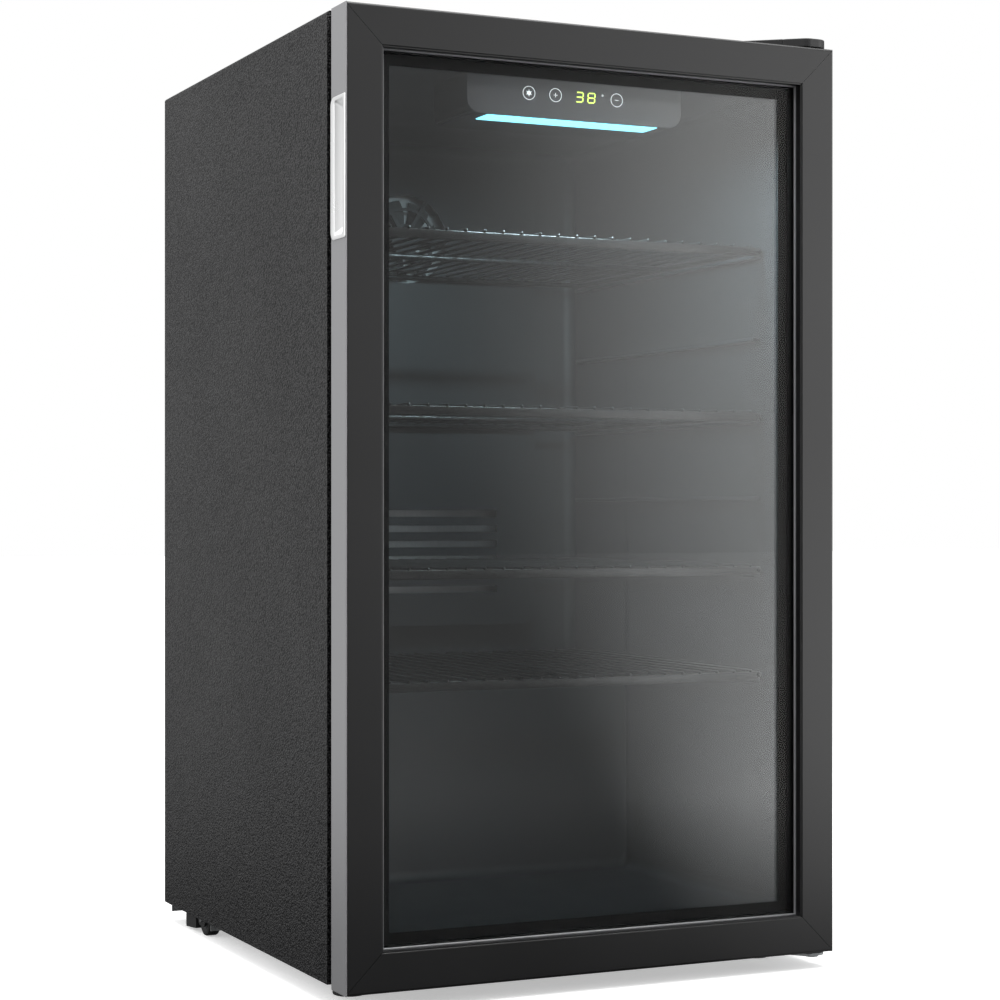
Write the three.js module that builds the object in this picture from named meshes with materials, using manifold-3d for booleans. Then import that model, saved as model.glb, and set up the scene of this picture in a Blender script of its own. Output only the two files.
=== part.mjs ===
// A glass-door beverage fridge of about 90 litres, right-hinged, standing on two levelling feet
// and two rear rollers. Millimetres, +Z up, the front faces -Y, the origin is on the floor under
// the middle of the fridge.

import * as THREE from 'three';
import { mergeVertices } from 'three/addons/utils/BufferGeometryUtils.js';
import Module from 'manifold-3d';

const wasm = await Module();
wasm.setup();

// ---------------------------------------------------------------- overall sizes
const WIDTH = 480;
const DOOR_HEIGHT = 827;
const CABINET_DEPTH = 467;
const GROUND_CLEARANCE = 15; // floor to the door's lower edge
const CABINET_LIFT = 3; // the cabinet's lower edge stands this much above the door's
const GAP = 0.3; // clearance between pieces that touch

// ---------------------------------------------------------------- door
const DOOR_DEPTH = 34;
const FRAME_FACE = 35; // visible width of a frame member
const FRAME_BODY = 24; // width of a member behind its lip
const FRAME_BODY_DEPTH = 26;
const LIP_DEPTH = 10.7; // front lip that covers the edge of the glass
const LIP_STEP = 1.2; // shadow line along the inner edge of the face
const FRAME_EDGE_RADIUS = 2.5;
const MITRE_GAP = 0.15;
const TRIM_THICKNESS = 1.2; // grey strip along the handle side
const FRONT_GLASS = 4;
const REAR_GLASS = 3;
const SPACER_DEPTH = 7.2;
const SPACER_SIGHT = 1.5; // the spacer shows this much inside the lip
const INNER_FRAME_INSET = 2;
const INNER_FRAME_SIGHT = 1; // inner frame inside the lip
const GASKET_GAP = 7; // door back to cabinet front
const GASKET_INSET = 13;
const GASKET_WIDTH = 16;
const PULL_TOP_DROP = 76; // door top to the top of the pull
const PULL_LENGTH = 120;
const PULL_RECESS = 14; // how far the pull reaches in from the door's side
const PULL_WALL = 1.5;
const PULL_PLATE = 0.8; // flange of the pull over the side trim
const PULL_FRONT_LIP = 5;
const PULL_END = 16; // sloped end of the scoop
const CUP_INSET = 2; // cup inside the flange's ends

// ---------------------------------------------------------------- hinges
const PIN_INSET = 13; // hinge axis from the door's right side
const PIN_SETBACK = 17; // hinge axis behind the door's front
const PIN_RADIUS = 4;
const BUSH_WALL = 2.2;
const BUSH_LENGTH = 14;
const BUSH_FLANGE = 1;
const BRACKET_PLATE = 2.5;
const HINGE_SCREW_RADIUS = 2;
const HINGE_SCREW_HEAD = 4;
const COVER_HEIGHT = 9.5; // hinge cover above the door's top edge
const COVER_WALL = 1.6;
const COVER_REACH = 90; // hinge cover from the cabinet's right side towards its middle
const COVER_BACK = 50; // hinge cover behind the cabinet's front
const COVER_TIP = 11.5; // radius of the cover round the pin

// ---------------------------------------------------------------- cabinet
const SHEET = 1; // steel sheet
const SHELL_RADIUS = 3;
const FLANGE = 17; // folded front edge of the shell
const RAIL_DEPTH = 24; // angle under the cabinet's front edge
const RIB_WIDTH = 28; // pressed ribs of the back panel
const RIB_CREST = 18;
const RIB_END = 40; // rib ends from the panel's edges
const LINER = 2;
const SIDE_WALL = 35;
const TOP_WALL = 37;
const FLOOR_WALL = 31;
const REAR_WALL = 45;
const STEP_DEPTH = 122; // liner step over the compressor, from the liner's back
const STEP_HEIGHT = 190;
const STEP_WALL = 29; // insulation round the compressor bay
const LEDGE_DEPTH = 7;
const LEDGE_THICKNESS = 4;
const STEP_RADIUS = 6;

// ---------------------------------------------------------------- shelves
const SHELF_STEP_GAP = 27; // lowest shelf above the compressor step
const SHELF_SHARES = [0, 0.196, 0.483, 0.791]; // shelf places from the lowest up to the control unit
const SHELF_SETBACK = 28; // shelf front behind the cabinet's front
const SHELF_SIDE_GAP = 4.5; // side rod centre to the liner
const SHELF_ROD = 3; // radius
const SHELF_BAR_HEIGHT = 8.5;
const SHELF_BAR_THICKNESS = 3;
const WIRE_RADIUS = 1.5;
const WIRE_PITCH = 18.2;
const WIRE_SINK = 0.6; // welded depth
const WIRE_OVERHANG = 2.2;

// ---------------------------------------------------------------- control unit and light
const CONTROL_WIDTH = 214;
const CONTROL_SETBACK = 9; // fascia behind the cabinet's front
const CONTROL_DROP = 38; // fascia below the ceiling
const CONTROL_DEPTH = 84;
const FASCIA_THICKNESS = 2.5;
const FASCIA_RADIUS = 12;
const LAMP_WIDTH = 170;
const LAMP_DEPTH = 27;
const LAMP_SETBACK = 4; // lens behind the fascia's front
const LENS_THICKNESS = 2;
const HOUSING_WALL = 2;
const HOUSING_INSET = 5; // housing inside the fascia's side edges
const BOARD_INSET = 8; // board inside the lens ends
const BOARD_THICKNESS = 1.6;

// ---------------------------------------------------------------- air duct and fan
const DUCT_WIDTH = 300;
const DUCT_STEP_GAP = 60; // duct cover above the compressor step
const DUCT_DEPTH = 20;
const DUCT_TOP_DROP = 26; // duct cover below the ceiling
const FAN_RADIUS = 42;
const FAN_CLEARANCE = 4;
const FAN_DROP = 76; // fan axis below the top of the duct cover
const FAN_BLADES = 7;
const HUB_RADIUS = 16;
const BLADE_ROOT = 10; // where a blade starts, inside the hub
const BLADE_DEPTH = 7;
const BLADE_CHORD = 16;
const BLADE_THICKNESS = 1.6;
const BLADE_PITCH = 0.36; // radians
const SHAFT_RADIUS = 1.5;
const MOTOR_DEPTH = 6;
const SHAFT_LENGTH = 8;
const DUCT_WALL = 2;
const DUCT_RADIUS = 14;
const GUARD_RING = 33;
const GUARD_WIDTH = 3;
const SPOKE_WIDTH = 4;
const AIR_SLOTS = 6;
const AIR_SLOT_BASE = 34; // lowest slot above the duct's lower edge
const AIR_SLOT_PITCH = 16;
const AIR_SLOT_HEIGHT = 7;
const AIR_SLOT_INSET = 45;
const PLATE_INSET = 20; // evaporator inside the duct's outline
const PLATE_THICKNESS = 1.5;
const CHANNELS = 5;
const CHANNEL_HEIGHT = 12;
const CHANNEL_DEPTH = 1.6;

// ---------------------------------------------------------------- machine compartment
const TRAY_FLANGE = 9; // down-turned ends of the compressor tray
const TRAY_SHEET = 1.2;
const TRAY_INSET = 5; // tray ends from the cabinet's sides
const TRAY_SETFORWARD = 8; // tray's rear edge from the cabinet's back
const COMPRESSOR_OFFSET = -70; // compressor axis from the fridge's middle
const COMPRESSOR_RADIUS = 54;
const COMPRESSOR_HEIGHT = 128;
const WELD_FLANGE = 2.5;
const GROMMET_HEIGHT = 12;
const GROMMET_RADIUS = 8;
const STUD_X = 62; // grommet places from the compressor's axis
const STUD_Y = 36;
const RELAY_WIDTH = 34;
const RELAY_DEPTH = 52;
const RELAY_BASE = 22;
const RELAY_HEIGHT = 52;
const PAN_WIDTH = 132;
const PAN_DEPTH = 104;
const PAN_HEIGHT = 14;
const PAN_WALL = 2;
const DRIER_X = 150;
const DRIER_BASE = 40;
const PIPE_RADIUS = 3;
const BAY_COVER_BASE = 6;
const BAY_COVER_SHEET = 1.5;
const COVER_SLOTS = 12;
const GLAND_RADIUS = 6.5;
const GLAND_BORE = 3.6; // mains lead passes here
const GLAND_INSET = 34; // gland axis from the cover's edges
const GLAND_RISE = 30;
const GLAND_COLLAR = 3;

// ---------------------------------------------------------------- feet and rollers
const FOOT_RADIUS = 15;
const FOOT_PAD = 7;
const FOOT_STUD = 4;
const FOOT_INSET = 36;
const FOOT_SETBACK = 40;
const ROLLER_RADIUS = 16;
const ROLLER_WIDTH = 12;
const ROLLER_INSET = 14; // roller centre from the cabinet's side
const ROLLER_SETFORWARD = 107; // roller axle from the cabinet's back
const AXLE_RADIUS = 2.5;
const CHEEK = 2; // wall of a roller bracket
const BRACKET_WING = 9; // bracket flange beyond the wheel
const BRACKET_REAR = 50; // bracket's rear block behind the axle
const BRACKET_GROUND = 1.6; // bracket's lowest edge above the floor

// ---------------------------------------------------------------- derived sizes
const HALF = WIDTH / 2;
const CABINET_HEIGHT = DOOR_HEIGHT - CABINET_LIFT;
const DEPTH = DOOR_DEPTH + GASKET_GAP + CABINET_DEPTH;
const FLOOR_DROP = GROUND_CLEARANCE + CABINET_LIFT; // floor below the cabinet's lower edge
const INNER_HALF = HALF - SIDE_WALL;
const CEILING = CABINET_HEIGHT - TOP_WALL;
const LINER_BACK = CABINET_DEPTH - REAR_WALL;
const STEP_FRONT = LINER_BACK - STEP_DEPTH;
const STEP_TOP = FLOOR_WALL + STEP_HEIGHT;
const BAY_FRONT = STEP_FRONT + LINER + STEP_WALL;
const BAY_TOP = STEP_TOP - LINER - STEP_WALL;
const SHELL_INSIDE = HALF - SHEET;
const PIN_X = HALF - PIN_INSET;
const BUSH_RADIUS = PIN_RADIUS + GAP + BUSH_WALL;
const LOWEST_SHELF = STEP_TOP + SHELF_STEP_GAP;
const SHELF_LEVELS = SHELF_SHARES.map((share) => {
  return LOWEST_SHELF + share * (CEILING - CONTROL_DROP - LOWEST_SHELF);
});
const DUCT_BASE = STEP_TOP + DUCT_STEP_GAP;

// ---------------------------------------------------------------- solid helpers

/** Manifold solid of a three.js geometry. */
function solid(geometry) {
  const bare = geometry.clone();
  bare.deleteAttribute('normal');
  bare.deleteAttribute('uv');
  const merged = mergeVertices(bare, 1e-4);
  return new wasm.Manifold(new wasm.Mesh({
    numProp: 3,
    vertProperties: new Float32Array(merged.attributes.position.array),
    triVerts: new Uint32Array(merged.index.array),
  }));
}

/** BufferGeometry of a Manifold solid. */
function geometryOf(body) {
  const mesh = body.getMesh();
  const geometry = new THREE.BufferGeometry();
  geometry.setAttribute('position', new THREE.BufferAttribute(mesh.vertProperties, 3));
  geometry.setIndex(new THREE.BufferAttribute(mesh.triVerts, 1));
  const flat = geometry.toNonIndexed();
  flat.computeVertexNormals();
  return flat;
}

/** Box between two corners. */
function box(x0, x1, y0, y1, z0, z1) {
  const geometry = new THREE.BoxGeometry(x1 - x0, y1 - y0, z1 - z0);
  geometry.translate((x0 + x1) / 2, (y0 + y1) / 2, (z0 + z1) / 2);
  return solid(geometry);
}

/** Outline points of corners [a, b, radius]; a corner without a radius stays sharp. */
function outline(corners, steps = 4) {
  const points = [];
  corners.forEach(([a, b, radius = 0], index) => {
    const here = new THREE.Vector2(a, b);
    if (radius === 0) {
      points.push(here);
      return;
    }
    const before = new THREE.Vector2(...corners.at(index - 1));
    const after = new THREE.Vector2(...corners[(index + 1) % corners.length]);
    const back = before.sub(here).normalize();
    const on = after.sub(here).normalize();
    const half = Math.acos(THREE.MathUtils.clamp(back.dot(on), -1, 1)) / 2;
    const reach = radius / Math.tan(half);
    const centre = back.clone().add(on).normalize().multiplyScalar(radius / Math.sin(half)).add(here);
    const first = here.clone().addScaledVector(back, reach).sub(centre);
    const turn = Math.sign(back.cross(on)) * -(Math.PI - 2 * half);
    for (let step = 0; step <= steps; step += 1) {
      const point = first.clone().rotateAround(new THREE.Vector2(), (turn * step) / steps);
      points.push(point.add(centre));
    }
  });
  return points;
}

const BASES = {
  x: [[0, 1, 0], [0, 0, 1], [1, 0, 0]],
  y: [[0, 0, 1], [1, 0, 0], [0, 1, 0]],
  z: [[1, 0, 0], [0, 1, 0], [0, 0, 1]],
};

/** Straight bar of an outline along an axis; corners are (y,z), (x,z) or (x,y) for x, y and z. */
function bar(axis, corners, from, to, steps = 4) {
  let points = outline(corners, steps);
  if (axis === 'y') {
    points = points.map((point) => new THREE.Vector2(point.y, point.x));
  }
  const shape = new THREE.Shape(points);
  const geometry = new THREE.ExtrudeGeometry(shape, { depth: to - from, bevelEnabled: false });
  geometry.translate(0, 0, from);
  const [u, v, w] = BASES[axis].map((vector) => new THREE.Vector3(...vector));
  geometry.applyMatrix4(new THREE.Matrix4().makeBasis(u, v, w));
  return solid(geometry);
}

/** Rectangle corners with one radius. */
function rectangle(a0, a1, b0, b1, radius = 0) {
  return [[a0, b0, radius], [a1, b0, radius], [a1, b1, radius], [a0, b1, radius]];
}

/** Round rod along an axis through a point, between two places on that axis. */
function rod(axis, at, from, to, radius, sides = 16) {
  const geometry = new THREE.CylinderGeometry(radius, radius, to - from, sides);
  const middle = (from + to) / 2;
  if (axis === 'x') {
    geometry.rotateZ(Math.PI / 2);
    geometry.translate(middle, at[0], at[1]);
  } else if (axis === 'y') {
    geometry.translate(at[0], middle, at[1]);
  } else {
    geometry.rotateX(Math.PI / 2);
    geometry.translate(at[0], at[1], middle);
  }
  return solid(geometry);
}

/** Body of revolution about Z of a profile of [radius, height] points. */
function turned(profile, sides = 24) {
  const points = profile.map(([radius, height]) => new THREE.Vector2(radius, height));
  const geometry = new THREE.LatheGeometry(points, sides);
  geometry.rotateX(Math.PI / 2);
  let body = solid(geometry);
  if (body.volume() < 0) {
    geometry.index.array.reverse();
    body = solid(geometry);
  }
  return body;
}

/** Round tube along a smooth line of points. */
function pipe(points, radius, steps) {
  const stations = points.map((point) => new THREE.Vector3(...point));
  const curve = new THREE.CatmullRomCurve3(stations, false, 'centripetal');
  const section = new THREE.Shape();
  section.absarc(0, 0, radius, 0, 2 * Math.PI, false);
  const geometry = new THREE.ExtrudeGeometry(section, { steps, curveSegments: 3, extrudePath: curve });
  return solid(geometry);
}

/** All bodies joined. */
function join(bodies) {
  return bodies.reduce((whole, body) => whole.add(body));
}

/** A body less others. */
function cut(body, others) {
  return others.reduce((whole, other) => whole.subtract(other), body);
}

const FINISHES = {
  coated_steel: { color: 0x454545, roughness: 0.6, metalness: 0.2 },
  door_profile: { color: 0x3a3a3a, roughness: 0.35, metalness: 0.3 },
  grey_trim: { color: 0x9a9a9a, roughness: 0.4, metalness: 0.4 },
  bright_metal: { color: 0xe6e6e6, roughness: 0.15, metalness: 1 },
  clear_glass: { color: 0xa8b0b0, roughness: 0.02, metalness: 0 },
  dark_plastic: { color: 0x222324, roughness: 0.5, metalness: 0 },
  liner_plastic: { color: 0x35383b, roughness: 0.45, metalness: 0 },
  panel_plastic: { color: 0x5a5c5f, roughness: 0.3, metalness: 0 },
  rubber: { color: 0x121212, roughness: 0.8, metalness: 0 },
  foam: { color: 0xd9c48a, roughness: 0.95, metalness: 0 },
  wire: { color: 0x3c3f42, roughness: 0.4, metalness: 0.5 },
  zinc: { color: 0xb4b8ba, roughness: 0.4, metalness: 1 },
  aluminium: { color: 0xc8cacc, roughness: 0.35, metalness: 1 },
  copper: { color: 0xb87333, roughness: 0.3, metalness: 1 },
  machine_black: { color: 0x161616, roughness: 0.4, metalness: 0.2 },
  lamp: { color: 0xa8f4ff, roughness: 0.3, metalness: 0 },
  board: { color: 0x1f5c3a, roughness: 0.6, metalness: 0 },
};

/** Named mesh of a body, put into a group. */
function add(group, name, body, finish, place = [0, 0, 0]) {
  const mesh = new THREE.Mesh(geometryOf(body), new THREE.MeshStandardMaterial(FINISHES[finish]));
  mesh.name = name;
  mesh.position.set(...place);
  group.add(mesh);
}

// ---------------------------------------------------------------- hinge plan shapes

const PIN_Y = PIN_SETBACK - DOOR_DEPTH - GASKET_GAP; // hinge axis from the cabinet's front
const SCREW_PLACES = [[HALF - 24, 28], [HALF - 58, 28]];

/** Plan outline round the top hinge, grown inwards by an inset. */
function coverOutline(inset) {
  const right = HALF - PIN_INSET + COVER_TIP - inset;
  const left = HALF - COVER_REACH + inset;
  const back = COVER_BACK - inset;
  const tip = COVER_TIP - inset;
  return [
    [right, back, 3],
    [left, back, 5],
    [left, COVER_BACK - 34 + inset * 0.4, 8],
    [PIN_X - tip, PIN_Y - tip, tip - 0.5],
    [right, PIN_Y - tip, tip - 0.5],
  ];
}

// ---------------------------------------------------------------- cabinet

const cabinet = new THREE.Group();
cabinet.position.set(0, DEPTH / 2 - CABINET_DEPTH, FLOOR_DROP);

/** U-shaped section of the shell in (x, z), as wide as the given sheet. */
function shellSection(thickness, radius) {
  const inside = HALF - thickness;
  const inner = Math.max(radius - thickness, 0);
  return [
    [-HALF, 0], [-HALF, CABINET_HEIGHT, radius], [HALF, CABINET_HEIGHT, radius], [HALF, 0],
    [inside, 0], [inside, CABINET_HEIGHT - thickness, inner],
    [-inside, CABINET_HEIGHT - thickness, inner], [-inside, 0],
  ];
}

/** Upright section (x, z) that fits inside the shell, from a lower edge up. */
function shellInside(low) {
  const half = SHELL_INSIDE - GAP;
  const top = CABINET_HEIGHT - SHEET - GAP;
  return [[-half, low], [half, low], [half, top, SHELL_RADIUS], [-half, top, SHELL_RADIUS]];
}

function buildShell() {
  const wrap = bar('y', shellSection(SHEET, SHELL_RADIUS), 0, CABINET_DEPTH);
  const fold = bar('y', shellSection(FLANGE, SHELL_RADIUS), 0, SHEET);
  const holes = SCREW_PLACES.map(([x, y]) => {
    const top = CABINET_HEIGHT + GAP;
    return rod('z', [x, y], CABINET_HEIGHT - SHEET - GAP, top, HINGE_SCREW_RADIUS + GAP, 12);
  });
  add(cabinet, 'outer_shell', cut(join([wrap, fold]), holes), 'coated_steel');

  const backInset = SHEET + GAP;
  const backBase = BAY_TOP + SHEET + 2 * GAP;
  const backTop = CABINET_HEIGHT - backInset;
  const backFace = CABINET_DEPTH - SHEET;
  const plate = bar('y', shellInside(backBase), backFace - SHEET, backFace);
  const ribs = [-1, 0, 1].map((place) => {
    const middle = (place * WIDTH) / 4;
    const foot = RIB_WIDTH / 2;
    const crest = RIB_CREST / 2;
    const section = [[middle - foot, backFace - SHEET / 2], [middle + foot, backFace - SHEET / 2],
      [middle + crest, CABINET_DEPTH], [middle - crest, CABINET_DEPTH]];
    return bar('z', section, backBase + RIB_END, backTop - RIB_END);
  });
  add(cabinet, 'back_panel', join([plate, ...ribs]), 'coated_steel');

  const railSection = [[0, GAP], [RAIL_DEPTH, GAP], [RAIL_DEPTH, GAP + SHEET], [SHEET, GAP + SHEET],
    [SHEET, FLANGE], [0, FLANGE]];
  const railHalf = HALF - FLANGE - GAP;
  add(cabinet, 'front_rail', bar('x', railSection, -railHalf, railHalf), 'coated_steel');
}

function buildBase() {
  const start = RAIL_DEPTH + GAP;
  const half = SHELL_INSIDE - GAP;
  const section = [
    [start, GAP], [BAY_FRONT, GAP], [BAY_FRONT, BAY_TOP], [CABINET_DEPTH - SHEET - GAP, BAY_TOP],
    [CABINET_DEPTH - SHEET - GAP, BAY_TOP + SHEET], [BAY_FRONT - SHEET, BAY_TOP + SHEET],
    [BAY_FRONT - SHEET, GAP + SHEET], [start, GAP + SHEET],
  ];
  const holes = [-1, 1].map((side) => {
    const x = side * (HALF - FOOT_INSET);
    return rod('z', [x, FOOT_SETBACK], -GAP, 2 * SHEET + GAP, FOOT_STUD + GAP, 12);
  });
  add(cabinet, 'base_panel', cut(bar('x', section, -half, half), holes), 'zinc');
}

function buildLiner() {
  const lipEdge = HALF - FLANGE - GAP;
  const lipBase = FLANGE + GAP;
  const lipTop = CABINET_HEIGHT - FLANGE - GAP;
  const back = LINER_BACK + LINER;
  const ledgeStart = SHELF_SETBACK + SHELF_BAR_THICKNESS;
  const spares = [1, 2].map((index) => (SHELF_LEVELS[index] + SHELF_LEVELS[index + 1]) / 2);
  const levels = [...SHELF_LEVELS, ...spares];
  [['liner_left', -1], ['liner_right', 1]].forEach(([name, side]) => {
    const span = (near, far) => [Math.min(side * near, side * far), Math.max(side * near, side * far)];
    const sheet = bar('x', [
      [0, FLOOR_WALL - LINER], [STEP_FRONT + LINER, FLOOR_WALL - LINER],
      [STEP_FRONT + LINER, STEP_TOP - LINER], [back, STEP_TOP - LINER],
      [back, CEILING + LINER], [0, CEILING + LINER],
    ], ...span(INNER_HALF, INNER_HALF + LINER));
    const lip = box(...span(INNER_HALF, lipEdge), 0, LINER, lipBase, lipTop);
    const ledges = levels.map((level) => {
      const top = level - SHELF_ROD - GAP;
      const reach = span(INNER_HALF - LEDGE_DEPTH, INNER_HALF + LINER / 2);
      return box(...reach, ledgeStart, LINER_BACK - DUCT_DEPTH, top - LEDGE_THICKNESS, top);
    });
    add(cabinet, name, join([sheet, lip, ...ledges]), 'liner_plastic');
  });

  const half = INNER_HALF - GAP;
  const ceiling = box(-half, half, 0, back, CEILING, CEILING + LINER);
  const ceilingLip = box(-half, half, 0, LINER, CEILING, lipTop);
  add(cabinet, 'liner_ceiling', join([ceiling, ceilingLip]), 'liner_plastic');

  const floorSection = [
    [0, lipBase], [LINER, lipBase], [LINER, FLOOR_WALL - LINER],
    [STEP_FRONT + LINER, FLOOR_WALL - LINER], [STEP_FRONT + LINER, STEP_TOP - LINER],
    [LINER_BACK - GAP, STEP_TOP - LINER], [LINER_BACK - GAP, STEP_TOP],
    [STEP_FRONT, STEP_TOP, STEP_RADIUS], [STEP_FRONT, FLOOR_WALL], [0, FLOOR_WALL],
  ];
  add(cabinet, 'liner_floor', bar('x', floorSection, -half, half), 'liner_plastic');

  const backSheet = box(-half, half, LINER_BACK, back, STEP_TOP - LINER, CEILING - GAP);
  add(cabinet, 'liner_back', backSheet, 'liner_plastic');
}

function buildFoam() {
  const front = LINER + GAP;
  const rear = CABINET_DEPTH - 2 * SHEET - GAP;
  const inside = INNER_HALF + LINER + GAP;
  const clear = LINER + GAP;
  const block = bar('y', shellInside(SHEET + 2 * GAP), front, rear);
  const hollow = bar('x', [
    [0, FLOOR_WALL - clear], [STEP_FRONT + clear, FLOOR_WALL - clear],
    [STEP_FRONT + clear, STEP_TOP - clear], [LINER_BACK + clear, STEP_TOP - clear],
    [LINER_BACK + clear, CEILING + clear], [0, CEILING + clear],
  ], -inside, inside);
  const bay = box(-HALF, HALF, BAY_FRONT - SHEET - GAP, CABINET_DEPTH, 0, BAY_TOP + SHEET + GAP);
  const railRoom = box(-HALF, HALF, 0, RAIL_DEPTH + GAP, 0, SHEET + 2 * GAP);
  const studs = [-1, 1].map((side) => {
    const x = side * (HALF - FOOT_INSET);
    return rod('z', [x, FOOT_SETBACK], 0, FLOOR_WALL - LINER - 2, FOOT_STUD + 1, 12);
  });
  const screws = SCREW_PLACES.map(([x, y]) => {
    return rod('z', [x, y], CABINET_HEIGHT - 14, CABINET_HEIGHT, HINGE_SCREW_RADIUS + GAP, 12);
  });
  add(cabinet, 'foam_insulation', cut(block, [hollow, bay, railRoom, ...studs, ...screws]), 'foam');
}

function buildControls() {
  const front = CONTROL_SETBACK;
  const ceiling = CEILING - GAP;
  const base = CEILING - CONTROL_DROP;
  const half = CONTROL_WIDTH / 2;
  const fascia = bar('y', [
    [-half, ceiling], [-half, base, FASCIA_RADIUS], [half, base, FASCIA_RADIUS], [half, ceiling],
  ], front, front + FASCIA_THICKNESS);
  add(cabinet, 'control_fascia', fascia, 'panel_plastic');

  const wall = HOUSING_WALL;
  const shellFront = front + FASCIA_THICKNESS + GAP;
  const shellHalf = half - HOUSING_INSET;
  const shellBack = front + CONTROL_DEPTH;
  const lampFront = front + LAMP_SETBACK;
  const lensHalf = LAMP_WIDTH / 2;
  const outer = bar('y', [
    [-shellHalf, ceiling], [-shellHalf, base, FASCIA_RADIUS - 4],
    [shellHalf, base, FASCIA_RADIUS - 4], [shellHalf, ceiling],
  ], shellFront, shellBack);
  const room = box(-shellHalf + wall, shellHalf - wall, shellFront + wall, shellBack - wall,
    base + wall, CEILING);
  const lampWindow = box(-lensHalf - GAP, lensHalf + GAP, lampFront, lampFront + LAMP_DEPTH + 2 * GAP,
    base - 1, base + wall + 1);
  add(cabinet, 'control_housing', cut(outer, [room, lampWindow]), 'dark_plastic');

  const lensFront = lampFront + GAP;
  const lens = box(-lensHalf, lensHalf, lensFront, lensFront + LAMP_DEPTH, base, base + LENS_THICKNESS);
  add(cabinet, 'led_lens', lens, 'lamp');
  const boardFront = shellFront + wall + 1;
  const boardBase = base + LENS_THICKNESS + GAP;
  const boardHalf = lensHalf - BOARD_INSET;
  const board = box(-boardHalf, boardHalf, boardFront, boardFront + LAMP_DEPTH - 10,
    boardBase, boardBase + BOARD_THICKNESS);
  add(cabinet, 'led_board', board, 'board');
}

function buildDuct() {
  const front = LINER_BACK - DUCT_DEPTH;
  const back = LINER_BACK - GAP;
  const top = CEILING - DUCT_TOP_DROP;
  const base = DUCT_BASE;
  const half = DUCT_WIDTH / 2;
  const wall = DUCT_WALL;
  const fanZ = top - FAN_DROP;
  const outer = bar('y', rectangle(-half, half, base, top, DUCT_RADIUS), front, back);
  const room = box(-half + wall, half - wall, front + wall, back + 1, base + wall, top - wall);
  const fanHole = rod('y', [0, fanZ], front - 1, front + wall + 1, FAN_RADIUS + FAN_CLEARANCE, 32);
  const slots = [];
  for (let index = 0; index < AIR_SLOTS; index += 1) {
    const z = base + AIR_SLOT_BASE + index * AIR_SLOT_PITCH;
    const slotHalf = half - AIR_SLOT_INSET;
    slots.push(box(-slotHalf, slotHalf, front - 1, front + wall + 1, z, z + AIR_SLOT_HEIGHT));
  }
  const spokes = [0, 1, 2].map((index) => {
    const reach = FAN_RADIUS + FAN_CLEARANCE + 1;
    const arm = new THREE.BoxGeometry(2 * reach, wall, SPOKE_WIDTH);
    arm.rotateY((index * Math.PI) / 3);
    arm.translate(0, front + wall / 2, fanZ);
    return solid(arm);
  });
  const guard = rod('y', [0, fanZ], front, front + wall, HUB_RADIUS, 24);
  const ring = cut(rod('y', [0, fanZ], front, front + wall, GUARD_RING, 32),
    [rod('y', [0, fanZ], front - 1, front + wall + 1, GUARD_RING - GUARD_WIDTH, 32)]);
  const grille = join([cut(outer, [room, fanHole, ...slots]), ...spokes, guard, ring]);
  add(cabinet, 'duct_cover', grille, 'liner_plastic');

  const motorBack = front + wall + MOTOR_DEPTH;
  const motor = join([
    rod('y', [0, fanZ], front + wall + GAP, motorBack, HUB_RADIUS - 1, 24),
    rod('y', [0, fanZ], motorBack - 1, motorBack + SHAFT_LENGTH, SHAFT_RADIUS, 12),
  ]);
  add(cabinet, 'fan_motor', motor, 'machine_black');

  const bladeFront = motorBack + GAP;
  const bladeBack = bladeFront + BLADE_DEPTH;
  const blades = [];
  for (let index = 0; index < FAN_BLADES; index += 1) {
    const blade = new THREE.BoxGeometry(FAN_RADIUS - BLADE_ROOT, BLADE_THICKNESS, BLADE_CHORD);
    blade.rotateX(BLADE_PITCH);
    blade.translate((FAN_RADIUS + BLADE_ROOT) / 2, (bladeFront + bladeBack) / 2, 0);
    blade.rotateY((index * 2 * Math.PI) / FAN_BLADES);
    blade.translate(0, 0, fanZ);
    blades.push(solid(blade));
  }
  const hub = rod('y', [0, fanZ], bladeFront, bladeBack, HUB_RADIUS, 24);
  const shaftHole = rod('y', [0, fanZ], bladeFront - 1, bladeBack + 1, SHAFT_RADIUS + GAP, 12);
  add(cabinet, 'fan_blades', cut(join([hub, ...blades]), [shaftHole]), 'dark_plastic');

  const plateHalf = half - PLATE_INSET;
  const plate = box(-plateHalf, plateHalf, back - PLATE_THICKNESS, back, base + PLATE_INSET, top - PLATE_INSET);
  const channelHalf = plateHalf - PLATE_INSET;
  const channelPitch = (top - base - 6 * PLATE_INSET) / (CHANNELS - 1);
  const channels = [];
  for (let index = 0; index < CHANNELS; index += 1) {
    const z = base + 3 * PLATE_INSET + index * channelPitch;
    channels.push(box(-channelHalf, channelHalf, back - 1 - CHANNEL_DEPTH, back - 1, z, z + CHANNEL_HEIGHT));
  }
  const shaftRoom = rod('y', [0, fanZ], back - 4, back + 1, 4 * SHAFT_RADIUS, 16);
  add(cabinet, 'evaporator_plate', cut(join([plate, ...channels]), [shaftRoom]), 'aluminium');
}

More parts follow.
